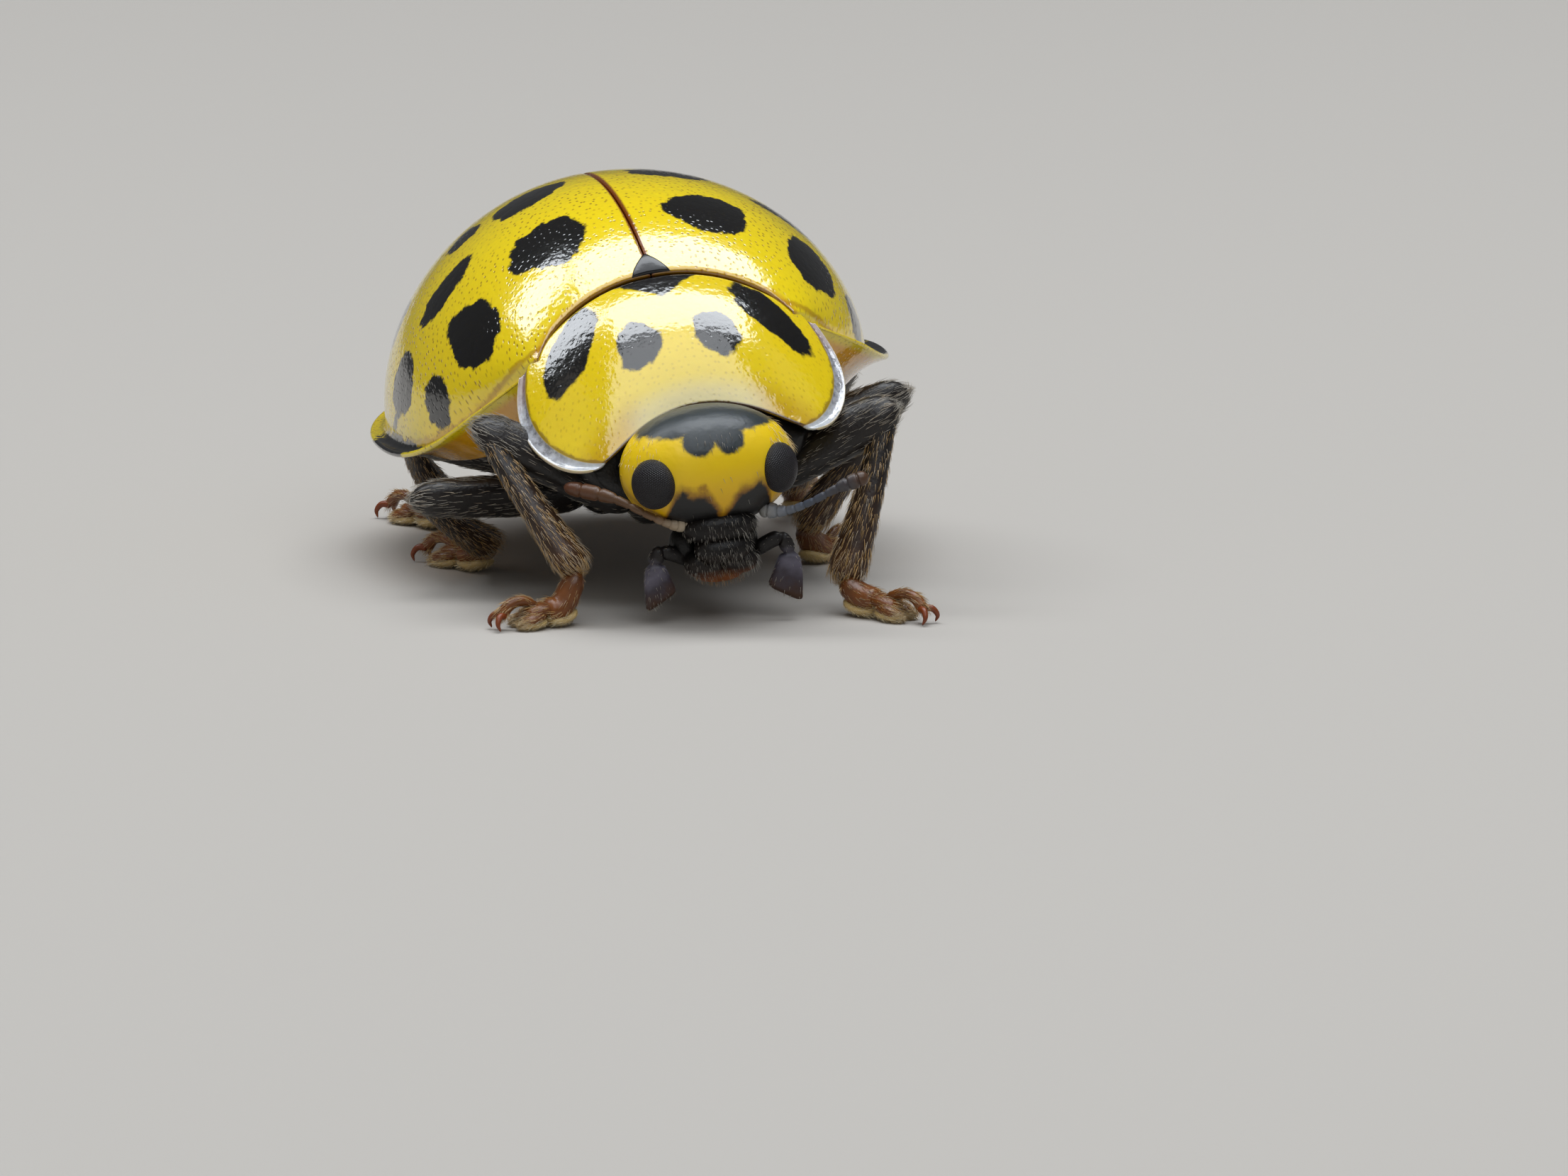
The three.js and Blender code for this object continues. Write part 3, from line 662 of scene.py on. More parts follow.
def paint_pronotum(tree, ground, ragged):
    """Brown front corners; a pale middle near the front edge, partly its own colour and partly a
    painted reflection; thin dark lines of painted shade at the front and hind edges; silver-grey
    side rims with a painted sheen and a bright border that is a painted highlight, pinkish brown at
    their hind end; and black spots."""
    place = node(tree, "ShaderNodeTexCoord", {}).outputs["Object"]
    mottle = node(tree, "ShaderNodeTexNoise", {
        "Vector": place, "Scale": 1 / (0.04 * MM), "Detail": 4.0, "Roughness": 0.65,
    })
    mottle = node(tree, "ShaderNodeMapRange", {"Value": mottle, "From Min": 0.35, "From Max": 0.65})
    # The clear side rims: a see-through grey, with a painted sheen in the lighter mottle and the
    # whiter front part, a painted highlight along the bright border, and their own pinkish brown at
    # the hind end.
    glass_and_sheen = painted(tree, "#77767a", [
        (mottle, "#b9bbc0"),
        (share_of(tree, "front", 0.5, 0.1, most=0.6), "#d5d9dc"),
        (share_of(tree, "front", 0.75, 1.0, most=0.75), "#8a6a5c"),
        (share_of(tree, "rim", 0.022, 0.012), "#e6d6b8"),
    ])
    corner = share_of(tree, "side", 0.3, 0.5, most=0.52)
    middle = share_of(tree, "side", 0.6, 0.35, most=0.55)
    line = share_of(tree, "rim", 0.135, 0.115, ragged, 0.7)
    return painted(tree, ground, [
        (share_of(tree, "front", 0.3, 0.05, ragged, corner), "#9c640a"),
        # The pale middle near the front edge: partly the thin edge's own colour, partly a painted
        # reflection.
        (share_of(tree, "front", 0.24, 0.05, most=middle), "#d2c8a0"),
        # Painted shade: a thin dark line along the front edge, where it meets the head. The
        # underside, whose front field is 0, takes the same dark brown.
        (share_of(tree, "front", 0.028, 0.01), "#4a2e12"),
        # Painted shade: a thin dark line along the hind edge, where the shield meets the wing
        # cases.
        (share_of(tree, "down", 0.03, 0.012, most=0.85), "#5e3408"),
        (share_of(tree, "rim", 0.095, 0.11, most=line), "#7d5c14"),
        (share_of(tree, "rim", 0.108, 0.096), glass_and_sheen),
        (share_of(tree, "spot", 0.012, -0.012, ragged), "#0b0907"),
    ])


# The shield's cuticle: the same wet shine with fainter pits, and rims painted with the silver sheen
# of frosted glass.
pronotum_cuticle = yellow_cuticle(
    "clear-rimmed yellow cuticle", ("#eed008", "#e6c606"), paint_pronotum,
    tear=0.0715, pits=0.35, coat=0.9,
)
add_pronotum()

# ---- Head
# The capsule of the head, half drawn in under the shield. Its face is yellow, with a black crown
# that sends two round lobes down the brow, and two black wedges rise from the lip beside a
# pointed yellow tongue. The cheeks under the eyes are yellow.

HEAD_AT = (0, -2.0, -0.055)
HEAD_HALF = (0.585, 0.42, 0.41)
HEAD_ROLL = math.radians(2.8)  # its own turn, back against the lean
HEAD_SHIFT = np.array([-0.025, 0, 0.013])
HEAD_BLUNTNESS = 0.97  # a little squarer than a plain egg
# The lower black wedges as a line of heights over x, mirrored about the tongue's middle.
WEDGE_X = (-0.36, -0.31, -0.26, -0.2, -0.13, -0.09, 0.01, 0.11, 0.15, 0.21, 0.27, 0.32, 0.37)
WEDGE_Z = (
    -0.36, -0.2, -0.13, -0.19, -0.185, -0.215, -0.375, -0.215, -0.185, -0.185, -0.12, -0.2, -0.36,
)


def around(count):
    """Angles at even steps round a ring."""
    return np.linspace(0, 2 * math.pi, count, endpoint=False)


def egg(at, half, rows=64, columns=96, bluntness=1.0):
    """An egg about the x axis: rows of rings from its -x pole to its +x pole, centre + half sizes
    * the unit ball, with each share raised to `bluntness` (under 1 squares it)."""
    lift = np.linspace(-0.5, 0.5, rows + 2)[1:-1, None] * math.pi
    turn = around(columns)[None, :]
    level = np.cos(lift)
    ball = np.broadcast_arrays(np.sin(lift), -level * np.cos(turn), level * np.sin(turn))
    ball = np.stack(ball, -1)
    return np.array(at) + np.array(half) * np.sign(ball) * np.abs(ball) ** bluntness


def closed(grid):
    """A closed surface from rows of rings: the rings joined up, and a pole at each end."""
    rows, columns = grid.shape[:2]
    points = np.concatenate([grid.reshape(-1, 3), grid[:1].mean(1), grid[-1:].mean(1)])
    first = np.arange(columns)
    last = first + (rows - 1) * columns
    caps = [
        np.stack([np.roll(first, -1), first, np.full(columns, rows * columns)], 1),
        np.stack([last, np.roll(last, -1), np.full(columns, rows * columns + 1)], 1),
    ]
    return points, facing_out(points, [grid_faces(rows, columns, wrap=True)[:, ::-1], *caps])


def joined(parts):
    """Several closed surfaces as one: points in a row, faces renumbered."""
    points, faces, start = [], [], 0
    for part_points, part_faces in parts:
        points.append(part_points)
        faces += [part + start for part in part_faces]
        start += len(part_points)
    return np.concatenate(points), faces


def head_settled(points):
    """As settled(), after the head's own turn of HEAD_ROLL about its length, against the lean, and
    a step of HEAD_SHIFT."""
    x, y, z = np.moveaxis(np.asarray(points, float) - HEAD_AT, -1, 0)
    c, s = math.cos(HEAD_ROLL), math.sin(HEAD_ROLL)
    return settled(np.stack([x * c + z * s, y, z * c - x * s], -1) + HEAD_AT + HEAD_SHIFT)


def head_dark(points):
    """Signed distance in mm to the black parts of the head, from each point's x and z."""
    x, y, z = np.moveaxis(points, -1, 0)
    crown = 0.208 - z - 0.2 * np.clip(np.abs(x) - 0.42, 0, 1)
    lobes = [np.hypot(x + 0.012 - side * 0.107, (z - 0.178) * 1.05) - 0.102 for side in (1, -1)]
    bridge = np.maximum(np.abs(x) - 0.16, 0.165 - z)
    wedges = (z - np.interp(x, WEDGE_X, WEDGE_Z)) * 0.7
    wedges = np.where(np.abs(x) > 0.36, z + 0.36, wedges)
    return np.minimum.reduce([crown, *lobes, bridge, wedges, -1.86 - y])


def paint_head(tree, ground, ragged):
    """Orange low on the face, a brown speck by the tongue, brown fringes on the wedges, and the
    black parts, turning blue-grey up the crown in a painted sheen."""
    fringe = share_of(tree, "low", -0.02, -0.2, ragged, 0.85)
    # The black turns blue-grey higher up the crown: a painted sheen.
    black = painted(tree, "#060505", [(share_of(tree, "low", 0.04, 0.14), "#2b3235")])
    return painted(tree, ground, [
        (share_of(tree, "low", 0.1, -0.3, most=0.6), "#d69a06"),
        (share_of(tree, "speck", 0.015, -0.015, ragged, 0.7), "#7a4208"),
        (share_of(tree, "spot", 0.075, 0.005, ragged, fringe), "#6e3c0a"),
        (share_of(tree, "spot", 0.016, -0.016, ragged), black),
    ])


# The face's cuticle has no clear skin or pits: a soft, satiny sheen.
head_cuticle = yellow_cuticle(
    "smooth yellow cuticle", ("#f2ce0a", "#e8c208"), paint_head,
    tear=0.066, pits=0.0, coat=0.0, gloss=0.36, ior=1.5,
)

# The capsule is an egg flattened a little at the brow.
grid = egg(HEAD_AT, HEAD_HALF, 100, 140, HEAD_BLUNTNESS)
x, y, z = np.moveaxis(grid, -1, 0)
brow = np.exp(-(((z - 0.02) / 0.2) ** 2)) * np.exp(-((x / 0.3) ** 2)) * (y < -2.1)
grid = grid + np.stack([0 * x, 0.018 * brow, 0 * x], -1)
points, faces = closed(grid)
speck = np.hypot(points[:, 0] + 0.13, points[:, 2] + 0.12) - 0.03
fields = {"spot": head_dark(points), "speck": speck, "low": points[:, 2]}
solid_piece("head", (points, faces), head_cuticle, fields, head_settled)

# ---- Eyes
# Two large compound eyes at the sides of the face, bulging a little from the capsule. Each is a
# dull purple-black ball of many hundreds of six-sided lenses, about 0.014 mm apart.

EYE_AT = (0.43, -2.265, -0.0775)
EYE_HALF = (0.155, 0.1, 0.168)
EYE_WAY = (0.644, -0.765, 0.03)  # the way it looks
LENS_PITCH = 0.014

# Faceted eye: dull, with a faint purple bloom, and a six-sided pattern of domes: the sum of three
# waves a third of a turn apart over the eye's own flat map.
faceted_eye, tree = new_material("faceted eye")
net = node(tree, "ShaderNodeAttribute", {}, attribute_name="net").outputs["Vector"]
height = 0.0
for angle in around(3):
    wave = 2 * math.pi / (LENS_PITCH * math.sqrt(3) / 2)
    way = (math.cos(angle) * wave, math.sin(angle) * wave, 0)
    phase = node(tree, "ShaderNodeVectorMath", {0: net, 1: way}, operation="DOT_PRODUCT")
    ripple = node(tree, "ShaderNodeMath", {0: phase.outputs["Value"]}, operation="COSINE")
    height = node(tree, "ShaderNodeMath", {0: ripple, 1: height}, operation="ADD")
bump = node(tree, "ShaderNodeBump", {"Height": height, "Strength": 0.8, "Distance": 0.0012 * MM})
lens = node(tree, "ShaderNodeMapRange", {"Value": height, "From Min": -1.5, "From Max": 2.0})
shader = node(tree, "ShaderNodeBsdfPrincipled", {
    "Base Color": painted(tree, "#040304", [(lens, "#1a161b")]),
    "Roughness": 0.36, "Normal": bump, "IOR": 1.44,
    "Sheen Weight": 0.06, "Sheen Roughness": 0.4, "Sheen Tint": "#9a86a8",
})
node(tree, "ShaderNodeOutputMaterial", {"Surface": shader})

ball = egg((0, 0, 0), (1, 1, 1), 48, 72)
flat_ball = closed(ball)[0]
reach = np.sqrt(2 / (1 + np.clip(-flat_ball[:, 1], -0.9, 1)))
net = flat_ball[:, [0, 2, 1]] * (1, 1, 0) * reach[:, None] * np.mean(EYE_HALF)
for name, side in (("eye_left", 1), ("eye_right", -1)):
    middle = unit(np.array(EYE_WAY) * (side, 1, 1))
    first = unit(np.cross(middle, [0, 0, 1]))
    turn = np.stack([first, -middle, np.cross(first, middle)])
    eye = closed(np.array(EYE_AT) * (side, 1, 1) + (ball * EYE_HALF) @ turn)
    made = solid_piece(name, eye, faceted_eye, {}, head_settled)
    layer = made.data.attributes.new("net", "FLOAT_VECTOR", "POINT")
    layer.data.foreach_set("vector", net.astype(np.float32).ravel())

# ---- Lip and jaws
# Below the face come the black brow plate of the lip, the broad dull lip itself, the brown jaws
# that meet under it, and the orange-brown lower lip behind them.

LIP_X = 0.01  # the mouth's middle lies a little to the beetle's left
LIP_Z = -0.585


def tinted_cuticle(name, tints, roughness=0.4, lift=0.0012, ior=1.5):
    """Dull cuticle whose colour runs through `tints` along the piece's own field, mottled at 0.1
    mm, with a fine pebbled grain about 0.02 mm across that breaks its shine."""
    material, tree = new_material(name)
    place = node(tree, "ShaderNodeTexCoord", {}).outputs["Object"]
    along = node(tree, "ShaderNodeAttribute", {}, attribute_name="along").outputs["Fac"]
    mottle = node(tree, "ShaderNodeTexNoise", {
        "Vector": place, "Scale": 1 / (0.1 * MM), "Detail": 4.0,
    })
    shift = node(tree, "ShaderNodeMapRange", {"Value": mottle, "To Min": -0.15, "To Max": 0.15})
    along = node(tree, "ShaderNodeMath", {0: along, 1: shift}, operation="ADD")
    ramp = node(tree, "ShaderNodeValToRGB", {"Fac": along}, tints)
    pebbles = node(tree, "ShaderNodeTexVoronoi", {"Vector": place, "Scale": 1 / (0.02 * MM)})
    bump = node(tree, "ShaderNodeBump", {
        "Height": pebbles, "Strength": 0.7, "Distance": lift * MM,
    })
    shader = node(tree, "ShaderNodeBsdfPrincipled", {
        "Base Color": ramp, "Roughness": roughness, "Normal": bump, "IOR": ior,
    })
    node(tree, "ShaderNodeOutputMaterial", {"Surface": shader})
    return material


def tilted(grid, centre, degrees):
    """Points turned about a line along x through a centre; positive lowers the front."""
    c, s = math.cos(math.radians(degrees)), math.sin(math.radians(degrees))
    x, y, z = np.moveaxis(grid - np.array(centre), -1, 0)
    return np.stack([x, y * c - z * s, y * s + z * c], -1) + np.array(centre)


# Near-black chitin that warms to brown at its lower edges, dull and finely grained.
mouth_cuticle = tinted_cuticle(
    "brown mouth cuticle", ((0.0, "#060504"), (1.0, "#8a4a14"), (0.5, "#1c110a")), 0.45, 0.003, 1.38
)

brow_plate = egg((LIP_X, -2.18, -0.43), (0.25, 0.165, 0.12), 48, 72, 0.93)
lip = egg((LIP_X, -2.22, LIP_Z), (0.19, 0.125, 0.1), 48, 72, 0.9)
x, y, z = np.moveaxis(lip, -1, 0)
x[:] = LIP_X + (x - LIP_X) * (1 + 1.4 * (z - LIP_Z))  # wider at its upper edge
z += 0.03 * np.exp(-(((x - LIP_X) / 0.06) ** 2)) * (z < -0.6)  # notched below
points, faces = joined([closed(brow_plate), closed(lip)])
fields = {"along": np.where(points[:, 2] < -0.6, 0.35, 0.1)}
solid_piece("lip", (points, faces), mouth_cuticle, fields, head_settled, ["labrum"])

jaws = [
    egg((side * 0.12 + LIP_X, -2.13, -0.67), (0.13, 0.12, 0.09), 40, 60, 0.9) for side in (1, -1)
]
jaws = [tilted(jaw, (0, -2.1, -0.67), 15) for jaw in jaws]
cheek_joints = [egg((side * 0.2, -2.0, -0.56), (0.1, 0.13, 0.12), 36, 48) for side in (1, -1)]
lower_lip = egg((LIP_X, -2.02, -0.75), (0.17, 0.15, 0.085), 40, 60, 0.85)
points, faces = joined([closed(grid) for grid in (*jaws, *cheek_joints, lower_lip)])
fields = {"along": np.clip((-0.62 - points[:, 2]) / 0.2, 0, 1)}
solid_piece("jaws", (points, faces), mouth_cuticle, fields, head_settled, ["mouth"])

# ---- Feelers
# Short feelers of eleven joints that spring from below the eyes: a stout pale first joint, slim
# blue-grey ones, and a club of three. The left one reaches forward and out, and the right one is
# folded back along the cheek.

# Each feeler's route from root to tip, and its tints along that.
FEELERS = {
    "left": (
        [[0.25, -2.16, -0.36], [0.4, -2.25, -0.385], [0.55, -2.35, -0.34], [0.75, -2.45, -0.25],
         [0.94, -2.5, -0.2]],
        ((0.0, "#8f8d88"), (1.0, "#4e3420"), (0.2, "#777b82"), (0.45, "#454d5a"),
         (0.75, "#3c3a3e")),
    ),
    "right": (
        [[-0.25, -2.16, -0.36], [-0.36, -2.2, -0.345], [-0.5, -2.2, -0.26], [-0.7, -2.05, -0.13],
         [-0.95, -1.76, -0.06]],
        ((0.0, "#b8ad98"), (1.0, "#5a3420"), (0.22, "#a3927a"), (0.4, "#6e5236"),
         (0.75, "#54381f")),
    ),
}
FEELER_WIDTHS = [0.048, 0.056, 0.042, 0.029, 0.027, 0.025, 0.026, 0.03, 0.046, 0.053, 0.042]
FEELER_JOINTS = 11
UP = [0, 0, 1]


def curve(route, t):
    """A smooth line through the route's points: Catmull-Rom, with t from 0 to 1."""
    route = np.asarray(route, float)
    padded = np.concatenate([[2 * route[0] - route[1]], route, [2 * route[-1] - route[-2]]])
    at = np.clip(t, 0, 1) * (len(route) - 1)
    k = np.minimum(at.astype(int), len(route) - 2)
    f = (at - k)[:, None]
    a, b, c, d = (padded[k + i] for i in range(4))
    cubic = (3 * b - a - 3 * c + d) * f**3
    return 0.5 * (2 * b + (c - a) * f + (2 * a - 5 * b + 4 * c - d) * f**2 + cubic)


def eased(count, end):
    """count shares from `end` to 1 - end, closer together towards both, by half a cosine."""
    return 0.5 - 0.5 * np.cos(math.pi * np.linspace(end, 1 - end, count))


def rounded(t, start, end):
    """A round end's profile: a quarter circle over `start` of the length, and `end` at the far
    side, 1 between."""
    return np.sqrt(1 - (1 - np.clip(np.minimum(t / start, (1 - t) / end), 0, 1)) ** 2)


def limb(route, widths, flank, flat=1.0, blunt=0.12, rows=60, columns=32):
    """Rows of rings along a curve. `widths` are half widths at even steps, across the flank's
    direction; along it the limb is `flat` times as thick. Both ends round off over `blunt` of the
    length. Returns the rings and each row's share of the length."""
    t = eased(rows, 0.012)
    path = curve(route, t)
    tangent = unit(np.gradient(path, axis=0))
    wide = unit(np.cross(tangent, flank))
    thick = np.cross(wide, tangent)
    half = curve(np.array(widths)[:, None], t)[:, 0] * rounded(t, blunt, blunt)
    turn = around(columns)[None, :, None]
    spread = wide[:, None] * np.cos(turn) + thick[:, None] * np.sin(turn) * flat
    return path[:, None] + spread * half[:, None, None], t


def row_field(values, grid):
    """A number for each point of a closed surface, from one for each row of its rings."""
    values = np.broadcast_to(values, len(grid))
    return np.concatenate([np.repeat(values, grid.shape[1]), values[[0, -1]]])


def ringed_piece(name, grid, along, material):
    """A closed piece from rows of rings, with the field `along` from a number for each row."""
    solid_piece(name, closed(grid), material, {"along": row_field(along, grid)})


# Thin bare cuticle: dull, pale at the root and smoky towards the club.
for side, (route, tints) in FEELERS.items():
    feeler_cuticle = tinted_cuticle(f"{side} feeler cuticle", tints)
    grid, t = limb(route, FEELER_WIDTHS, UP, rows=150, columns=28, blunt=0.05)
    joint = np.abs((t * FEELER_JOINTS) % 1 - 0.5) * 2
    waist = 1 - 0.32 * np.clip((joint - 0.6) / 0.4, 0, 1) ** 2
    middle = grid.mean(1, keepdims=True)
    grid = middle + (grid - middle) * waist[:, None, None]
    ringed_piece(f"antenna_{side}", grid, t, feeler_cuticle)

# ---- Palps
# A pair of jointed feelers at the mouth. Each ends in a flat blade, like a hatchet's, with a
# straight brown cutting edge and a purple-grey face: the grey of its fine down, with a painted
# sheen.

PALPS = {  # root, elbow, the blade's joint, and the two ends of its edge
    "palp_left": (
        [0.2, -2.04, -0.66], [0.38, -2.08, -0.6], [0.43, -2.08, -0.74], [0.25, -2.09, -0.905],
        [0.47, -2.11, -1.05],
    ),
    "palp_right": (
        [-0.2, -2.04, -0.66], [-0.42, -2.08, -0.55], [-0.485, -2.08, -0.65], [-0.59, -2.11, -0.93],
        [-0.36, -2.09, -0.83],
    ),
}
STALK_HALF = 0.05
BLADE_AT = 0.6  # share of the length where the blade begins to widen
BLADE_HALF = 0.038  # half its thickness at the edge


def palp(root, elbow, joint, first, last):
    """A stalk of three short joints, then a blade whose rings grow from the stalk's width to the
    whole cutting edge while they thin. Returns rings and shares."""
    first, last = np.array(first), np.array(last)
    t = eased(110, 0.012)
    path = curve([root, elbow, joint, (first + last) / 2], t)
    tangent = unit(np.gradient(path, axis=0))
    spread = np.clip((t - BLADE_AT) / (1 - BLADE_AT), 0, 1)[:, None]
    stalk = unit(np.cross(tangent, [0, 1, 0])) * STALK_HALF
    wide = stalk * (1 - spread) + (last - first) / 2 * spread**0.8
    thick = np.array([0, 1, 0]) * (STALK_HALF - (STALK_HALF - BLADE_HALF) * spread)
    waists = ((0.25, 0.33), (0.3, BLADE_AT))
    waist = 1 - sum(deep * np.exp(-(((t - at) / 0.03) ** 2)) for deep, at in waists)
    ends, waist = rounded(t, 0.1, 0.05)[:, None, None], waist[:, None, None]
    turn = around(40)[None, :, None]
    c, s = (np.sign(w) * np.abs(w) ** 0.75 for w in (np.cos(turn), np.sin(turn)))
    ring = wide[:, None] * c * ends**0.4 + thick[:, None] * s * ends
    return path[:, None] + ring * waist, t


# Dark cuticle that turns to purple-grey on the blade: partly the grey of its velvet of fine down,
# partly a painted sheen.
palp_cuticle = tinted_cuticle(
    "purple-grey palp cuticle",
    ((0.0, "#0d0a08"), (1.0, "#3d2412"), (0.5, "#181312"), (0.7, "#605c69"), (0.86, "#39323a")),
    0.42, 0.002, 1.42,
)
palp_rings = []
for name, bones in PALPS.items():
    grid, t = palp(*bones)
    ringed_piece(name, grid, t, palp_cuticle)
    palp_rings.append(grid)

# ---- Legs
# Six short legs, near black at the thighs and golden brown at the lower shins. The thighs are
# flattened, the shins widen to the heel, and both show their pebbled cuticle between the hairs.

# Hip, knee and heel in the body's frame, and the claws' tips on the floor.
LEGS = {
    "front_right": (
        (-0.42, -1.45, -0.34), (-1.35, -1.38, 0.33), (-0.97, -1.93, -0.6), (-1.46, -2.02),
    ),
    "front_left": ((0.42, -1.45, -0.34), (1.29, -1.75, 0.03), (0.79, -2.0, -0.99), (1.38, -2.5)),
    "middle_right": ((-0.55, -0.62, -0.4), (-1.7, -0.7, -0.2), (-1.17, -0.12, -0.74), (-1.4, 0.48)),
    "middle_left": ((0.55, -0.62, -0.4), (1.6, -0.8, -0.08), (0.95, -0.35, -0.95), (1.5, 0.05)),
    "hind_right": ((-0.5, 0.3, -0.4), (-1.42, 0.92, -0.1), (-1.12, 1.45, -0.74), (-1.3, 2.08)),
    "hind_left": ((0.5, 0.3, -0.4), (1.62, 0.78, -0.22), (1.3, 1.43, -1.07), (1.75, 1.98)),
}
COXA_WIDTHS = [0.15, 0.175, 0.15]
THIGH_WIDTHS = [0.12, 0.165, 0.175, 0.165, 0.13]
SHIN_WIDTHS = [0.085, 0.09, 0.1, 0.12, 0.14]
THIGH_BOW = 0.025  # how far the thighs and the shins bend outward
SHIN_BOW = 0.055

# Leathery dark chitin: a low shine, broken by pebbles, that warms to brown down the shin.
leg_cuticle = tinted_cuticle(
    "dark leg cuticle", ((0.0, "#080605"), (1.0, "#5a3718"), (0.45, "#150d09"), (0.75, "#321e0f")),
    lift=0.002,
)
leg_rings = {}
for name, (hip, knee, heel, claws) in LEGS.items():
    hip, knee, heel = np.array(hip), np.array(knee), np.array(heel)
    thigh, shin = unit(knee - hip), unit(heel - knee)
    flank = unit(np.cross(thigh, shin))
    outward = unit(knee - (hip + heel) / 2)
    coxa = [hip * (0.45, 1, 1) + (0, 0, 0.06), hip * (0.75, 1, 1) + (0, 0, 0.03)]
    femur = [hip, (hip + knee) / 2 + outward * THIGH_BOW, knee + thigh * 0.09]
    tibia = [knee, (knee + heel) / 2 + outward * SHIN_BOW, heel]
    coxa, t = limb([*coxa, hip + thigh * 0.08], COXA_WIDTHS, [0, 1, 0], blunt=0.35)
    ringed_piece(f"coxa_{name}", coxa, 0 * t, leg_cuticle)
    femur, t = limb(femur, THIGH_WIDTHS, flank, 0.75, 0.14, 90, 48)
    ringed_piece(f"femur_{name}", femur, 0.1 + 0.3 * t, leg_cuticle)
    tibia, t = limb(tibia, SHIN_WIDTHS, flank, 0.72, 0.1, 90, 48)
    ringed_piece(f"tibia_{name}", tibia, 0.35 + 0.55 * t**1.5, leg_cuticle)
    leg_rings[name] = [coxa, femur, tibia]

# ---- Feet
# Each foot has a long brown first joint and a broad split second one, both soled with cream pads
# of fine bristles, then a slim arched joint that carries two curved red-brown claws.

BROWN, CREAM, CLAW = range(3)


def floor_place(points):
    """Floor millimetres, before the body's shift, to metres."""
    return (np.asarray(points) + BODY_PLACE * (1, 1, 0)) * MM


def foot_parts(heel, claws):
    """The foot's forms in the floor's frame, each with its rings, its shares and its tint."""
    start = turned(heel) + BODY_PLACE * (0, 0, 1)
    ahead = np.array([claws[0] - start[0], claws[1] - start[1], 0.0])
    flank = np.array([-ahead[1], ahead[0], 0]) / np.linalg.norm(ahead)

    def part(tint, spots, widths, flat, blunt, rows, columns=32):
        """A limb through spots given by their share of the way, height and step sideways."""
        route = []
        for share, height, *sideways in spots:
            route.append([*start[:2], height] + ahead * share + flank * sum(sideways))
        return *limb(route, widths, UP, flat, blunt, rows, columns), tint

    parts = [
        part(BROWN, [(0, start[2]), (0.2, 0.14), (0.42, 0.11)], [0.085, 0.1, 0.1], 0.85, 0.2, 50),
        part(CREAM, [(0.02, 0.1), (0.2, 0.055), (0.42, 0.05)], [0.07, 0.1, 0.09], 0.42, 0.25, 40),
        part(BROWN, [(0.32, 0.13), (0.5, 0.115), (0.66, 0.09)], [0.07, 0.095, 0.08], 0.55, 0.2, 40),
    ]
    for side in (1, -1):
        lobe = [(0.42, 0.1, side * 0.03), (0.58, 0.075, side * 0.065), (0.72, 0.045, side * 0.075)]
        sole = [(0.42, 0.055, side * 0.03), (0.58, 0.04, side * 0.065), (0.74, 0.036, side * 0.075)]
        claw = [
            (0.9, 0.1, side * 0.015), (0.98, 0.1, side * 0.05), (1.02, 0.055, side * 0.075),
            (0.99, 0.008, side * 0.08),
        ]
        parts += [
            part(BROWN, lobe, [0.045, 0.06, 0.05], 0.7, 0.25, 36, 28),
            part(CREAM, sole, [0.05, 0.06, 0.05], 0.55, 0.25, 36, 28),
            part(CLAW, claw, [0.026, 0.022, 0.016, 0.004], 1.0, 0.08, 36, 16),
        ]
    arch = [(0.5, 0.14), (0.66, 0.185), (0.82, 0.17), (0.93, 0.1)]
    return parts + [part(BROWN, arch, [0.03, 0.034, 0.038, 0.042], 1.0, 0.1, 60, 28)]


# Clear brown chitin over matt cream pads, with claws of glossy red-brown horn.
foot_cuticle = tinted_cuticle(
    "brown foot cuticle",
    ((0.0, "#2e1a0c"), (1.0, "#7a3814"), (0.3, "#7a4416"), (0.55, "#c2a468"), (0.75, "#cdb47c"),
     (0.9, "#7a3814")),
    0.35,
)
foot_rings = {}
for name, (*_, heel, claws) in LEGS.items():
    parts = foot_parts(np.array(heel), claws)
    points, faces = joined([closed(grid) for grid, t, tint in parts])
    points[:, 2] = np.maximum(points[:, 2], 0)
    along = [row_field((0.15 + 0.15 * t, 0.65, 1.0)[tint], grid) for grid, t, tint in parts]
    fields = {"along": np.concatenate(along)}
    solid_piece(f"tarsus_{name}", (points, faces), foot_cuticle, fields, floor_place)
    foot_rings[name] = [(grid, tint) for grid, t, tint in parts]

# ---- Underside
# The dark, slightly domed belly that the legs spring from: the breast under the shield with its
# ridge, the plates of the thorax, and the abdomen with six ring plates edged in brown.

BELLY = -0.42
BELLY_SLOPE = 2.2  # roundness of the belly across
PLATE_EDGES = (0.62, 0.88, 1.12, 1.34, 1.54)  # y of the grooves between the abdomen's plates


def hull(first, last, over, under, rows=70, columns=120, blunt=0.1):
    """Rows of rings along y: each ring runs out over `over(s, y)` and back over `under(s, y)`, for
    s from -1 to 1 across, and closes in at both ends over `blunt` of the length."""
    t = eased(rows, 0.02)[:, None]
    turn = around(columns)[None, :]
    close = rounded(t, blunt, blunt)
    s, y = np.broadcast_arrays(np.cos(turn) * (0.4 + 0.6 * close), first + (last - first) * t)
    up = 0.5 + 0.5 * np.sign(np.sin(turn)) * np.abs(np.sin(turn)) ** 0.6 * close
    return under(s, y) * (1 - up[..., None]) + over(s, y) * up[..., None]


def keel(s):
    """1 along the belly's middle, falling to 0 at its sides as the root of 1 - |s|^2.2."""
    return np.maximum(1 - np.abs(s) ** BELLY_SLOPE, 0) ** 0.5


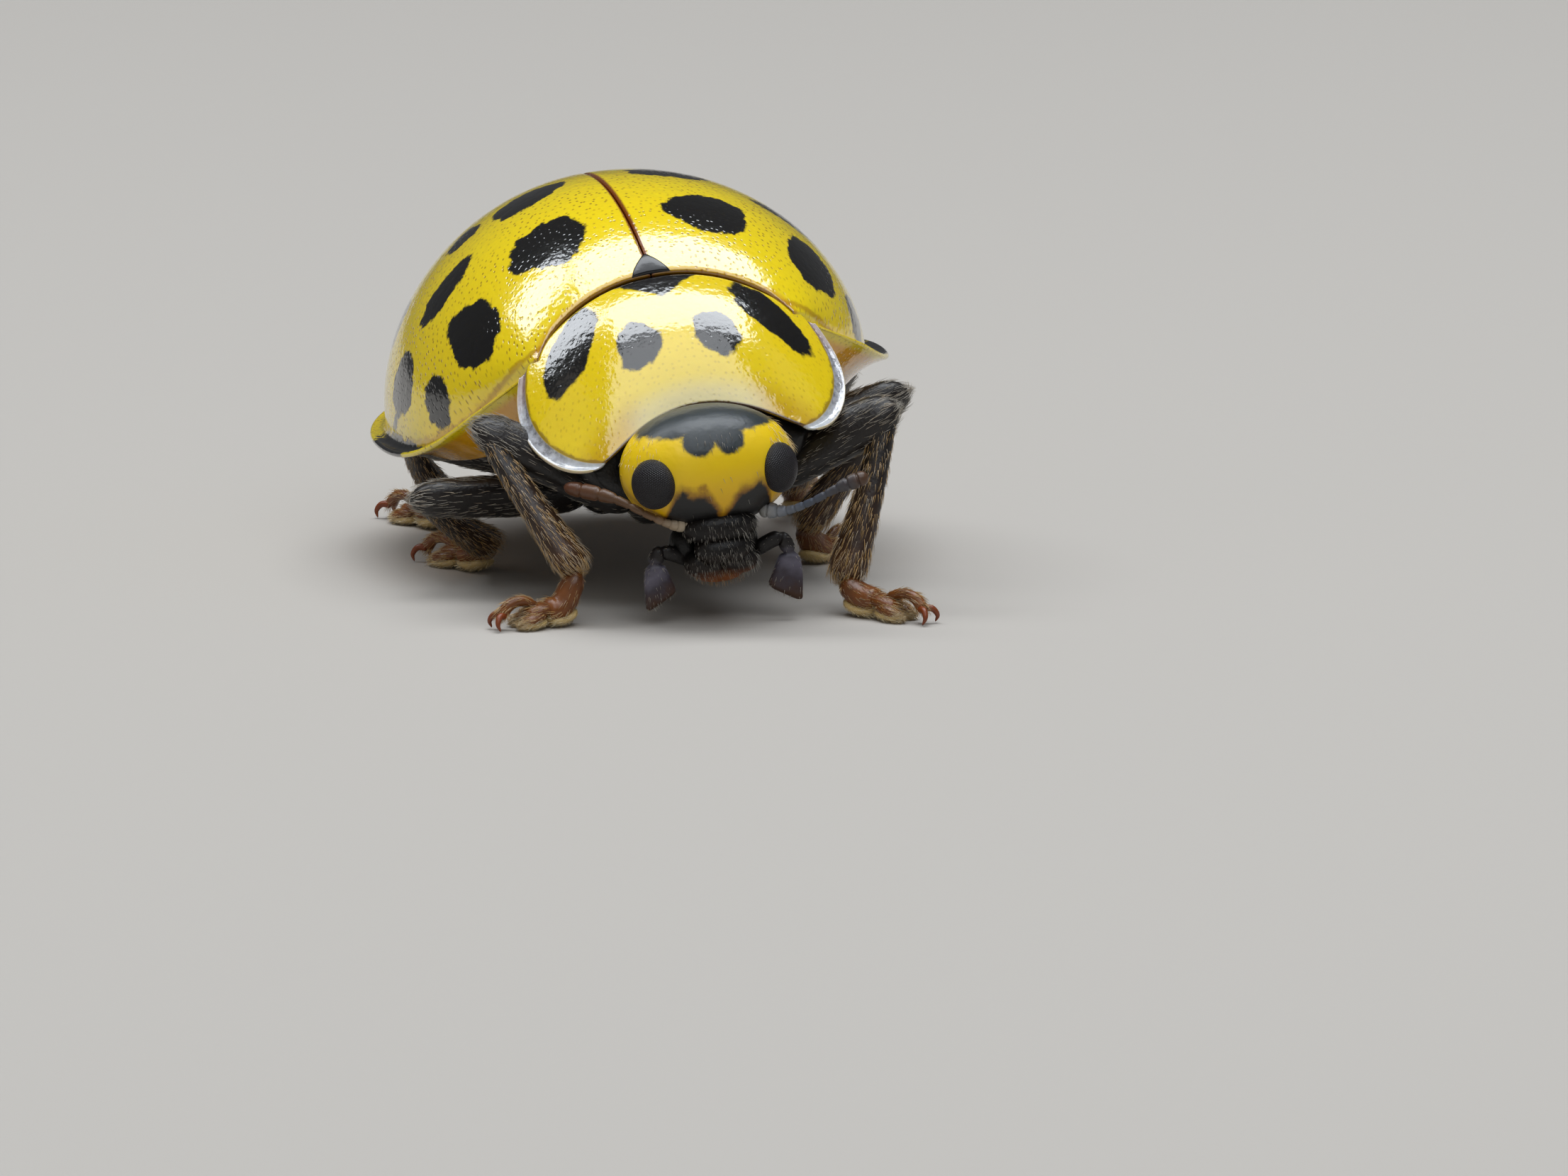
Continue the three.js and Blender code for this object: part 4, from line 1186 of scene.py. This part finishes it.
def trunk_over(s, y):
    """Just inside the wing cases' dome."""
    half, foot = wall_half(y) - 0.08, rim_level(y)
    rise = np.maximum(crest_height(y) - 0.15 - foot, 0)
    return np.stack([s * half, y, foot + rise * np.maximum(1 - s**2, 0) ** 0.53], -1)


def trunk_under(s, y):
    """The belly: from just above the turned-in band's inner edge down to BELLY in the middle,
    grooved between plates."""
    level = rim_level(y) * 0.5 - 0.1 * rim_share(y) + 0.02
    half = rim_half(y) - UNDERRIM * rim_share(y) + 0.03
    depth = np.sqrt(np.maximum(1 - ((y - 0.3) / 1.75) ** 2, 0))
    bottom = level + (BELLY - level) * keel(s) * depth
    groove = sum(np.exp(-(((y - edge_y - 0.1 * s**2) / 0.012) ** 2)) for edge_y in PLATE_EDGES)
    return np.stack([s * half, y, bottom + 0.014 * groove], -1)


def breast_over(s, y):
    """Just under the shield."""
    t = np.clip((BASE - y) / 0.68, 0, 1) * 0.9
    return shield(s * 0.8, t) + np.array([0, 0.04, -0.16])


def breast_under(s, y):
    """The breast's keel."""
    x = breast_over(s, y)[..., 0] * 0.95
    return np.stack([x, y - 0.1 * s**2, -0.1 + (BELLY + 0.1) * keel(s)], -1)


# The belly's chitin: near black and dull, brown towards its sides.
belly_cuticle = tinted_cuticle(
    "dark belly cuticle", ((0.0, "#0b0908"), (1.0, "#7a4d18"), (0.5, "#1c130c")), lift=0.002
)
BELLY_PARTS = {
    "prosternum": hull(-1.04, -1.68, breast_over, breast_under),
    "thorax_underside": hull(-0.98, 0.36, trunk_over, trunk_under),
    "abdomen": hull(0.3, 2.0, trunk_over, trunk_under),
}
for name, grid in BELLY_PARTS.items():
    points, faces = closed(grid)
    x, y = points[:, 0], points[:, 1]
    fields = {"along": np.clip((np.abs(x) - 0.9) / 0.8, 0, 1) + 0.25 * (y > 1.2)}
    solid_piece(name, (points, faces), belly_cuticle, fields)

# ---- Hair
# Short stiff hairs, golden on the shins and silver-grey on the thighs, all lying towards the tip
# of the limb. Finer down covers the belly, the lip, the jaws, the palps and the temples, and
# cream bristles the soles.

RING_SHARES = [0.0, 0.4, 0.75]  # places of a hair's three rings along it
SPIKE_QUADS = np.array([
    [k + s, k + (s + 1) % 3, k + 3 + (s + 1) % 3, k + 3 + s] for k in (0, 3) for s in range(3)
])
SPIKE_TRIANGLES = np.array([[6, 7, 9], [7, 8, 9], [8, 6, 9], [2, 1, 0]])
PATCH = 0.003  # side of a hair's patch on the bake map


def scatter(grid, count, rng, wanted):
    """Random places on rows of rings, as likely as their area times `wanted(points)`: positions,
    outward normals, directions along the limb, and (ring, row) shares."""
    ring = np.concatenate([grid, grid[:, :1]], 1)
    a, b, c, d = ring[:-1, :-1], ring[:-1, 1:], ring[1:, :-1], ring[1:, 1:]
    normal = np.cross(b - a, c - a)
    weight = np.linalg.norm(normal, axis=-1) * wanted((a + d) / 2)
    pick = rng.choice(weight.size, count, p=weight.ravel() / weight.sum())
    i, j = np.divmod(pick, weight.shape[1])
    f, g = rng.random((2, count, 1))
    near, far = a[i, j] * (1 - g) + b[i, j] * g, c[i, j] * (1 - g) + d[i, j] * g
    place = near * (1 - f) + far * f
    normal = unit(normal[i, j])
    outward = place - grid.mean(1)[i]
    normal = normal * np.where((normal * outward).sum(-1, keepdims=True) < 0, -1, 1)
    shares = np.concatenate([j[:, None] + g, i[:, None] + f], 1) / weight.shape[::-1]
    return place, normal, unit(c[i, j] - a[i, j]), shares


def spikes(place, normal, along, length, width, lift, rng):
    """Three-sided tapering hairs, each with its root, two rings and a tip. They lie along the limb,
    raised by `lift`, and bend back towards it. Returns points of shape (hairs, 10, 3)."""
    count = len(place)
    size = length * (0.7 + 0.6 * rng.random((count, 1)))
    raised = normal * lift * (0.5 + rng.random((count, 1)))
    way = unit(along + raised + 0.13 * rng.normal(size=(count, 3)))
    side = unit(np.cross(way, normal))
    other = np.cross(way, side)
    share = np.repeat(RING_SHARES, 3)[None, :, None]
    thick = np.repeat([1.0, 0.8, 0.45], 3)[None, :, None] * width
    turn = np.tile(around(3), 3)[None, :, None]
    root = place - normal * 0.006
    drop = (along - normal) * 0.18
    middle = root[:, None] + (way[:, None] * share + drop[:, None] * share**2) * size[:, None]
    rings = middle + (side[:, None] * np.cos(turn) + other[:, None] * np.sin(turn)) * thick
    tip = root + (way + drop) * size
    return np.concatenate([rings, tip[:, None]], 1)


def tuft(grid, count, length, width, lift, shade, seed, lie=None, wanted=lambda p: 1):
    """Hairs scattered on rows of rings, lying along the limb or in the direction `lie`. Returns
    their points, their places' shares and their shade."""
    place, normal, along, shares = scatter(grid, count, np.random.default_rng(seed), wanted)
    if lie is not None:
        along = unit(np.array(lie) + 0 * place)
    rng = np.random.default_rng(seed)
    return spikes(place, normal, along, length, width, lift, rng), shares, shade


def hair_piece(name, tufts, node_names, place=settled):
    """One joined mesh of many hairs. `tufts` lists (points, shares, shade), and each has a band of
    the bake map, where each hair has a patch PATCH across at its root's place."""
    points = np.concatenate([hairs for hairs, shares, shade in tufts])
    count = len(points)
    start = np.arange(count)[:, None, None] * 10
    faces = [(start + SPIKE_QUADS).reshape(-1, 4), (start + SPIKE_TRIANGLES).reshape(-1, 3)]
    made = new_object(name, place(points.reshape(-1, 3)), faces, insect_hair)
    roots = np.concatenate([
        (shares * (0.99, 0.96) + (0, band)) / (1, len(tufts))
        for band, (hairs, shares, shade) in enumerate(tufts)
    ])
    spread_u = np.append(np.tile(np.arange(3) / 2, 3), 0.5)
    spread_v = np.append(np.repeat(RING_SHARES, 3), 1)
    maps = (roots[:, None] + np.stack([spread_u, spread_v], -1) * PATCH).reshape(-1, 2)
    corner = np.empty(len(made.data.loops), np.int32)
    made.data.loops.foreach_get("vertex_index", corner)
    layer = made.data.uv_layers.new(name="OFBake")
    layer.data.foreach_set("uv", maps[corner].astype(np.float32).ravel())
    shades = np.concatenate([np.full(len(hairs), shade) for hairs, shares, shade in tufts])
    shades = shades + 0.3 * (np.random.default_rng(count).random(count) - 0.5)
    layer = made.data.attributes.new("shade", "FLOAT", "POINT")
    layer.data.foreach_set("value", np.repeat(shades, 10).astype(np.float32))
    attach(made, "root")
    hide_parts(*node_names)


# Insect hair: clear and stiff, with a soft shine, from silver-grey through gold to cream.
insect_hair, tree = new_material("insect hair")
shade = node(tree, "ShaderNodeAttribute", {}, attribute_name="shade").outputs["Fac"]
HAIR_TINTS = ((0.0, "#5c5750"), (1.0, "#e6d9b4"), (0.35, "#b4aea2"), (0.65, "#bd9350"))
ramp = node(tree, "ShaderNodeValToRGB", {"Fac": shade}, HAIR_TINTS)
shader = node(tree, "ShaderNodeBsdfPrincipled", {
    "Base Color": ramp, "Roughness": 0.32, "IOR": 1.55,
})
node(tree, "ShaderNodeOutputMaterial", {"Surface": shader})

# Count, length, width, lift and shade of the hairs on a leg's three parts, and on the brown and
# the cream parts of a foot.
LEG_HAIRS = (
    (250, 0.06, 0.002, 0.3, 0.25),
    (1150, 0.075, 0.0023, 0.25, 0.3),
    (1500, 0.085, 0.0022, 0.28, 0.56),
)
FOOT_HAIRS = {BROWN: (260, 0.07, 0.002, 0.3, 0.6), CREAM: (420, 0.045, 0.002, 0.8, 0.95)}
for number, (name, rings) in enumerate(leg_rings.items()):
    tufts = [
        tuft(grid, *hairs, 10 * number + band)
        for band, (grid, hairs) in enumerate(zip(rings, LEG_HAIRS))
    ]
    hair_piece(f"leg_hair_{name}", tufts, [f"femur_{name}", f"tibia_{name}"])
    tufts = []
    for band, (grid, tint) in enumerate(foot_rings[name]):
        if tint == CLAW:
            continue
        hairs, shares, shade = tuft(grid, *FOOT_HAIRS[tint], 100 + 10 * number + band)
        hairs[..., 2] = np.maximum(hairs[..., 2], 0)
        tufts.append((hairs, shares, shade))
    hair_piece(f"foot_hair_{name}", tufts, [f"tarsus_{name}"], floor_place)


def on_crown(points):
    """The black crown, and a few anywhere."""
    return (head_dark(points) < 0) * (points[..., 2] > 0) + 0.03


def on_temples(points):
    """The temples, above and behind the eyes."""
    x, y, z = np.moveaxis(points, -1, 0)
    return (np.abs(x) > 0.38) * (z > 0.02) * (y > -2.3)


capsule = egg(HEAD_AT, HEAD_HALF, 60, 90, HEAD_BLUNTNESS)
# Rings, count, length, lift and shade of the hairs on each part of the face, and where they grow.
FACE_HAIRS = (
    (capsule, 420, 0.04, 0.35, 0.1, on_crown),
    (capsule, 450, 0.065, 0.6, 0.85, on_temples),
    (brow_plate, 420, 0.05, 0.7, 0.15),
    (lip, 330, 0.045, 0.7, 0.15),
    (lower_lip, 220, 0.05, 0.6, 0.5),
    (jaws[0], 200, 0.045, 0.6, 0.2),
    (jaws[1], 200, 0.045, 0.6, 0.2),
)
tufts = [
    tuft(grid, count, length, 0.0018, lift, shade, 300 + band, [0, -0.5, -1], *wanted)
    for band, (grid, count, length, lift, shade, *wanted) in enumerate(FACE_HAIRS)
]
hair_piece("face_hair", tufts, ["head", "labrum", "mouth"], head_settled)

tufts = [
    tuft(grid, 260, 0.035, 0.0016, 0.4, 0.3, 350 + band) for band, grid in enumerate(palp_rings)
]
hair_piece("palp_hair", tufts, ["palp_left", "palp_right"])

tufts = [
    tuft(grid, 1800, 0.07, 0.0035, 0.3, 0.3, 400 + band, [0, 1, 0], lambda p: p[..., 2] < -0.05)
    for band, grid in enumerate(BELLY_PARTS.values())
]
hair_piece("belly_hair", tufts, list(BELLY_PARTS))
